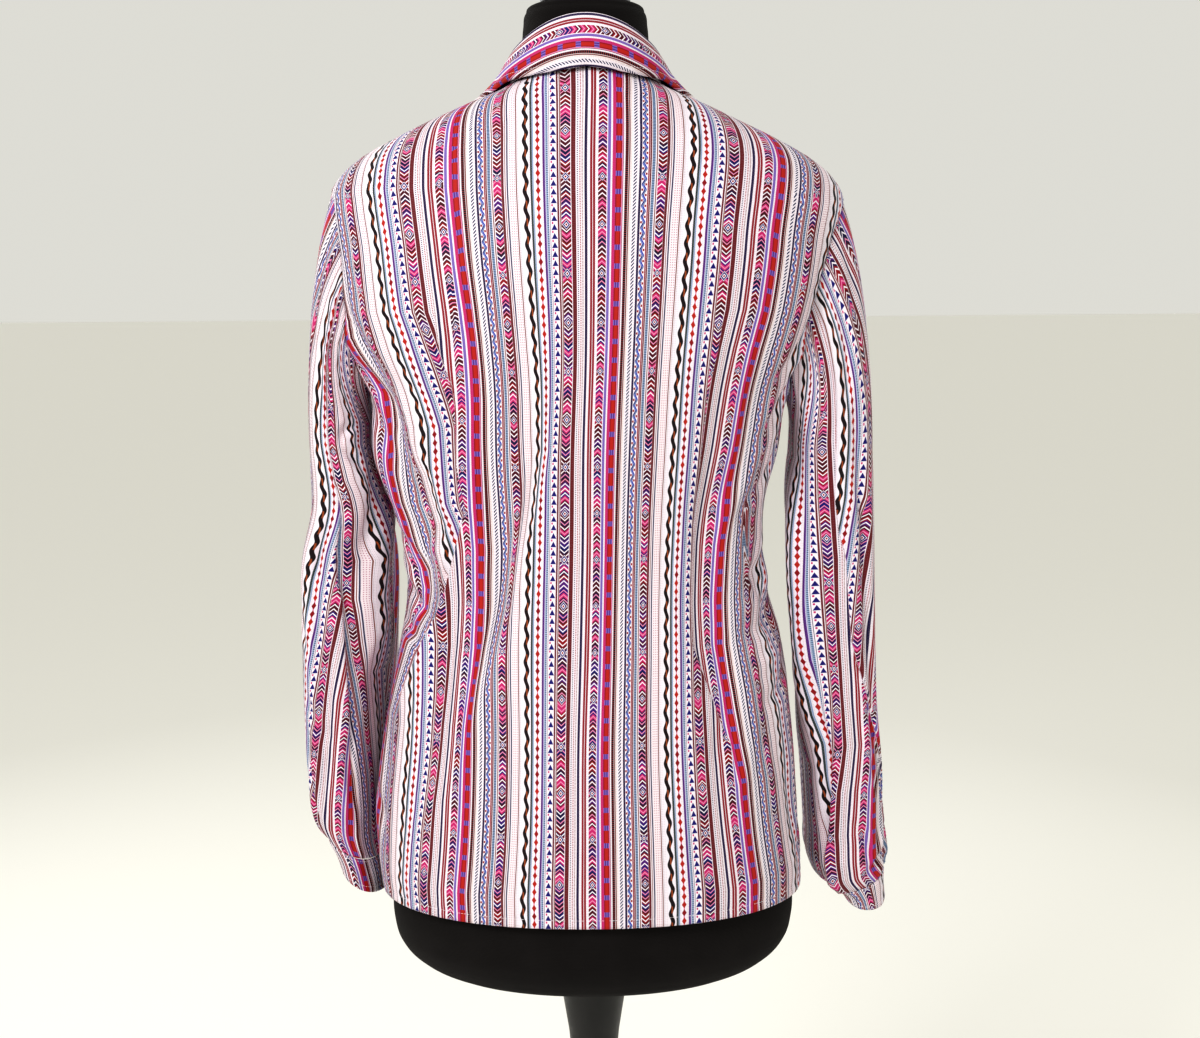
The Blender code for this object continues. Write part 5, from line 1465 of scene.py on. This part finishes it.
def button(name, node, point, normal, turn=0.0):
    """A dished button that faces along the normal, with the thread that holds it."""
    rings, sides = 34, 64
    z_axis = Vector([float(v) for v in normal])
    turned = z_axis.to_track_quat("Z", "Y").to_matrix() @ Matrix.Rotation(turn, 3, "Z")
    origin = Vector([float(v) for v in point + normal * LAID_GAP])
    verts = [Vector((0, 0, BUTTON_THICK - BUTTON_DISH))]
    r = BUTTON_RADIUS

    def top(x, y):
        reach = math.hypot(x, y)
        height = BUTTON_THICK - BUTTON_DISH * (1 - ease((reach - r + 2.2 * BUTTON_RIM) / (1.1 * BUTTON_RIM)))
        height -= 0.0009 * ease((reach - r + 0.6 * BUTTON_RIM) / (0.6 * BUTTON_RIM)) ** 2
        for hole_x in (-HOLE_OFF, HOLE_OFF):
            for hole_y in (-HOLE_OFF, HOLE_OFF):
                height -= 0.0013 * (1 - ease((math.hypot(x - hole_x, y - hole_y) - 0.7 * HOLE_RADIUS) / 0.0004))
        return height

    circle = [(math.cos(math.tau * k / sides), math.sin(math.tau * k / sides)) for k in range(sides)]
    for ring in range(1, rings + 1):
        reach = r * ring / rings
        verts += [Vector((reach * c, reach * s, top(reach * c, reach * s))) for c, s in circle]
    for reach, height in ((r, 0.0011), (r - 0.0003, 0.0004), (r - 0.001, 0.0)):
        verts += [Vector((reach * c, reach * s, height)) for c, s in circle]
    faces = [(0, 1 + k, 1 + (k + 1) % sides) for k in range(sides)] + ring_faces(rings + 2, sides, 1, True)
    faces.append(tuple(1 + (rings + 2) * sides + k for k in reversed(range(sides))))
    piece(name, [origin + turned @ v for v in verts], faces, (pearl,), "buttons", node)
    ends = [origin + turned @ Vector((x, 0.0, BUTTON_THICK - BUTTON_DISH)) for x in (-HOLE_OFF, HOLE_OFF)]
    way = turned @ Vector((0, 1, 0))
    stitches(name + "_thread", [(np.array(ends), np.array([way, way]), np.array([z_axis, z_axis]))], 2 * HOLE_OFF,
             0.00034)


FRONT_HEIGHTS = np.linspace(1.385, 0.865, 7)
for number, height in enumerate(FRONT_HEIGHTS):
    point, normal = body(np.array([2.0]), height, 0.0021)
    button(f"front_button_{number + 1}", f"button_{number + 1}", point[0], normal[0], 0.12 * math.sin(3.0 * number))
button("neck_button", "collar_button", stand_spot, stand_way, 0.2)
for word, turn in (("left", 0.1), ("right", -0.15)):
    button(f"wrist_button_{word}", f"cuff_button_{word}", *cuffs[word][1:], turn)

# %% Worked buttonholes
def buttonhole(point, way, normal, length=0.015):
    """Small threads across both lips of a buttonhole."""
    lines = []
    aside = np.cross(normal, way)
    for sign in (-1, 1):
        marks = np.linspace(-0.5 * length, 0.5 * length, 26)
        at = point + way * marks[:, None] + aside * sign * 0.0006
        lines.append((at, np.tile(aside, (26, 1)), np.tile(normal, (26, 1))))
    return lines


holes = []
for height in FRONT_HEIGHTS + 0.0015:
    point, normal = body(np.array([2.0, 2.0]), np.array([height, height + 0.001]), BAND_LIFT + 0.0001)
    holes += buttonhole(point[0], unit(point[1] - point[0]), normal[0])
stitches("buttonhole_threads", holes, 0.0013, 0.00017)

# %% [markdown]
# ## Form and stand
# The form is a moulded torso without limbs under black jersey, with a satin cap on its neck. It is lofted
# again from the same level sections with many more rows and columns, so its outline is smooth. The stand's
# socket, pole and base are turned pieces, as a lathe or a spinner makes them.
# %% The torso
# Columns: height, half width, depths of the back and front, squareness
FORM = (
    (0.7225, 0.105, 0.056, 0.056, 2.1),
    (0.725, 0.123, 0.07, 0.07, 2.1),
    (0.731, 0.141, 0.083, 0.083, 2.1),
    (0.741, 0.157, 0.093, 0.093, 2.1),
    (0.755, 0.168, 0.1005, 0.099, 2.1),
    (0.772, 0.1725, 0.104, 0.102, 2.1),
    (0.8, 0.173, 0.106, 0.102, 2.1),
    (0.87, 0.168, 0.105, 0.102, 2.1),
    (0.925, 0.163, 0.1, 0.1, 2.1),
    (0.99, 0.151, 0.089, 0.096, 2.1),
    (1.055, 0.137, 0.078, 0.092, 2.1),
    (1.11, 0.134, 0.078, 0.096, 2.1),
    (1.172, 0.143, 0.083, 0.106, 2.2),
    (1.224, 0.151, 0.088, 0.112, 2.3),
    (1.28, 0.16, 0.09, 0.108, 2.3),
    (1.34, 0.174, 0.087, 0.096, 2.2),
    (1.375, 0.185, 0.081, 0.086, 2.0),
    (1.395, 0.186, 0.077, 0.08, 1.8),
    (1.41, 0.175, 0.073, 0.0745, 1.7),
    (1.423, 0.156, 0.069, 0.068, 1.7),
    (1.437, 0.1292, 0.064, 0.062, 1.7),
    (1.452, 0.0972, 0.058, 0.0555, 1.8),
    (1.468, 0.0565, 0.0515, 0.0505, 2.0),
    (1.485, 0.052, 0.049, 0.049, 2.0),
    (1.516, 0.05, 0.048, 0.048, 2.0),
    (1.526, 0.048, 0.046, 0.046, 2.0),
    (1.532, 0.042, 0.04, 0.04, 2.0),
    (1.533, 0.038, 0.036, 0.036, 2.0),
)


def hard_piece(*parts):
    """A piece whose edges stay sharp."""
    piece(*parts).data.set_sharp_from_angle(angle=math.radians(50))


FORM_SIDES = 128
turns = np.linspace(0.0, math.tau, FORM_SIDES, endpoint=False)
levels = np.concatenate([np.linspace(a[0], b[0], 8, endpoint=False) for a, b in zip(FORM, FORM[1:])] + [[FORM[-1][0]]])
verts = []
for level in levels:
    half, back_deep, front_deep, square = read_table(FORM, level)
    c, s = np.cos(turns), np.sin(turns)
    x = half * np.sign(c) * np.abs(c) ** (2.0 / square)
    y = np.where(s > 0, back_deep, front_deep) * np.sign(s) * np.abs(s) ** (2.0 / square)
    verts += list(zip(x, y, np.full(x.shape, level)))
faces = ring_faces(len(levels) - 1, FORM_SIDES)
faces += [tuple(reversed(range(FORM_SIDES))), tuple(range(len(verts) - FORM_SIDES, len(verts)))]
hard_piece("torso_cover", verts, faces, (jersey,), "form_cover", "form_torso")


# %% The cap and the stand
def rounded(profile, size, steps=5):
    """Round the inner corners of a profile of (radius, height) points."""
    out = [profile[0]]
    for before, corner, after in zip(profile, profile[1:], profile[2:]):
        a, b, c = (np.array(p) for p in (before, corner, after))
        to_a, to_c = a - b, c - b
        cut = min(size, 0.45 * np.linalg.norm(to_a), 0.45 * np.linalg.norm(to_c))
        start, stop = b + to_a / np.linalg.norm(to_a) * cut, b + to_c / np.linalg.norm(to_c) * cut
        for f in np.linspace(0.0, 1.0, steps):
            out.append(tuple(start * (1 - f) ** 2 + b * 2 * f * (1 - f) + stop * f * f))
    return out + [profile[-1]]


def lathe(name, node, profile, size, finish, slot, sides=96):
    """Turn a profile that runs down the outer side about the pole's axis."""
    profile = rounded(profile, size)
    turns = [math.tau * k / sides for k in range(sides)]
    verts = [(0.0, 0.0, profile[0][1])]
    for radius, height in profile[1:-1]:
        verts += [(radius * math.cos(turn), radius * math.sin(turn), height) for turn in turns]
    verts.append((0.0, 0.0, profile[-1][1]))
    rings = len(profile) - 2
    last = 1 + (rings - 1) * sides
    faces = [(0, 1 + k, 1 + (k + 1) % sides) for k in range(sides)]
    faces += [(last + k, len(verts) - 1, last + (k + 1) % sides) for k in range(sides)]
    hard_piece(name, verts, faces + ring_faces(rings - 1, sides, 1, True), (finish,), slot, node)


lathe("neck_cap_disc", "form_neck_cap", ((0.0, 1.548), (0.0325, 1.548), (0.0363, 1.544), (0.0363, 1.5333),
                                         (0.0, 1.5333)), 0.002, cap_plastic, "neck_cap")
lathe("socket_tube", "stand_socket", ((0.0, 0.7222), (0.029, 0.7222), (0.0288, 0.704), (0.0222, 0.662),
                                      (0.0196, 0.635), (0.0185, 0.605), (0.0205, 0.6), (0.0205, 0.592),
                                      (0.0175, 0.588), (0.0175, 0.56), (0.0, 0.56)), 0.0015, stand_paint,
      "stand_paint")
lathe("pole_tube", "stand_pole", ((0.0, 0.5597), (0.014, 0.5597), (0.014, 0.0325), (0.0, 0.0325)), 0.0008,
      stand_paint, "stand_paint")
lathe("base_plate", "stand_base", ((0.0, 0.032), (0.02, 0.032), (0.03, 0.024), (0.034, 0.013),
                                   (0.06, 0.01), (0.182, 0.009), (0.185, 0.006), (0.185, 0.0),
                                   (0.0, 0.0)), 0.0015, stand_paint, "stand_paint", 160)

# %% [markdown]
# ## The cut of each cloth piece
# For every cloth piece the size that it was cut to is worked out from its shell and printed, with its area.
# %% The sheets
def cut(name, rests_on, with_pieces=(), held="draped", length=None):
    """Print the size that a piece of cloth was cut to, its shell's longest row and column to the next 5 mm, and its
    area.

    A length is given where the outer columns bend round an armhole.
    """
    width, longest = (math.ceil(size * 200) / 200 for size in FLAT_SIZES[name][:2])
    length = length or longest
    area = min(FLAT_SIZES[name][2], width * length)
    sewn_on = [bpy.data.objects[other] for other in with_pieces]
    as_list(rests_on)
    print(f"{name}: cut {width:.3f} x {length:.3f} m, {area:.4f} square metres")


cut("back_panel", ["torso_cover"], ["back_hem_stitches"], length=0.7)
for word in ("left", "right"):
    cut(f"front_{word}_panel", ["torso_cover"], [f"front_{word}_hem_stitches"], length=0.7)
cut("button_band_strip", ["front_left_panel", "front_right_panel"], ["band_stitches", "buttonhole_threads"])
for word in ("left", "right"):
    cut(f"sleeve_{word}_tube", ["back_panel"], held="hung")
for word in ("left", "right"):
    cut(f"cuff_{word}_band", [f"sleeve_{word}_tube"], [f"cuff_{word}_stitches"], held="hung")
cut("collar_stand_band", ["back_panel"], ["collar_stand_stitches"])
cut("collar_fall", ["collar_stand_band"], ["collar_stitches"], held="folded")
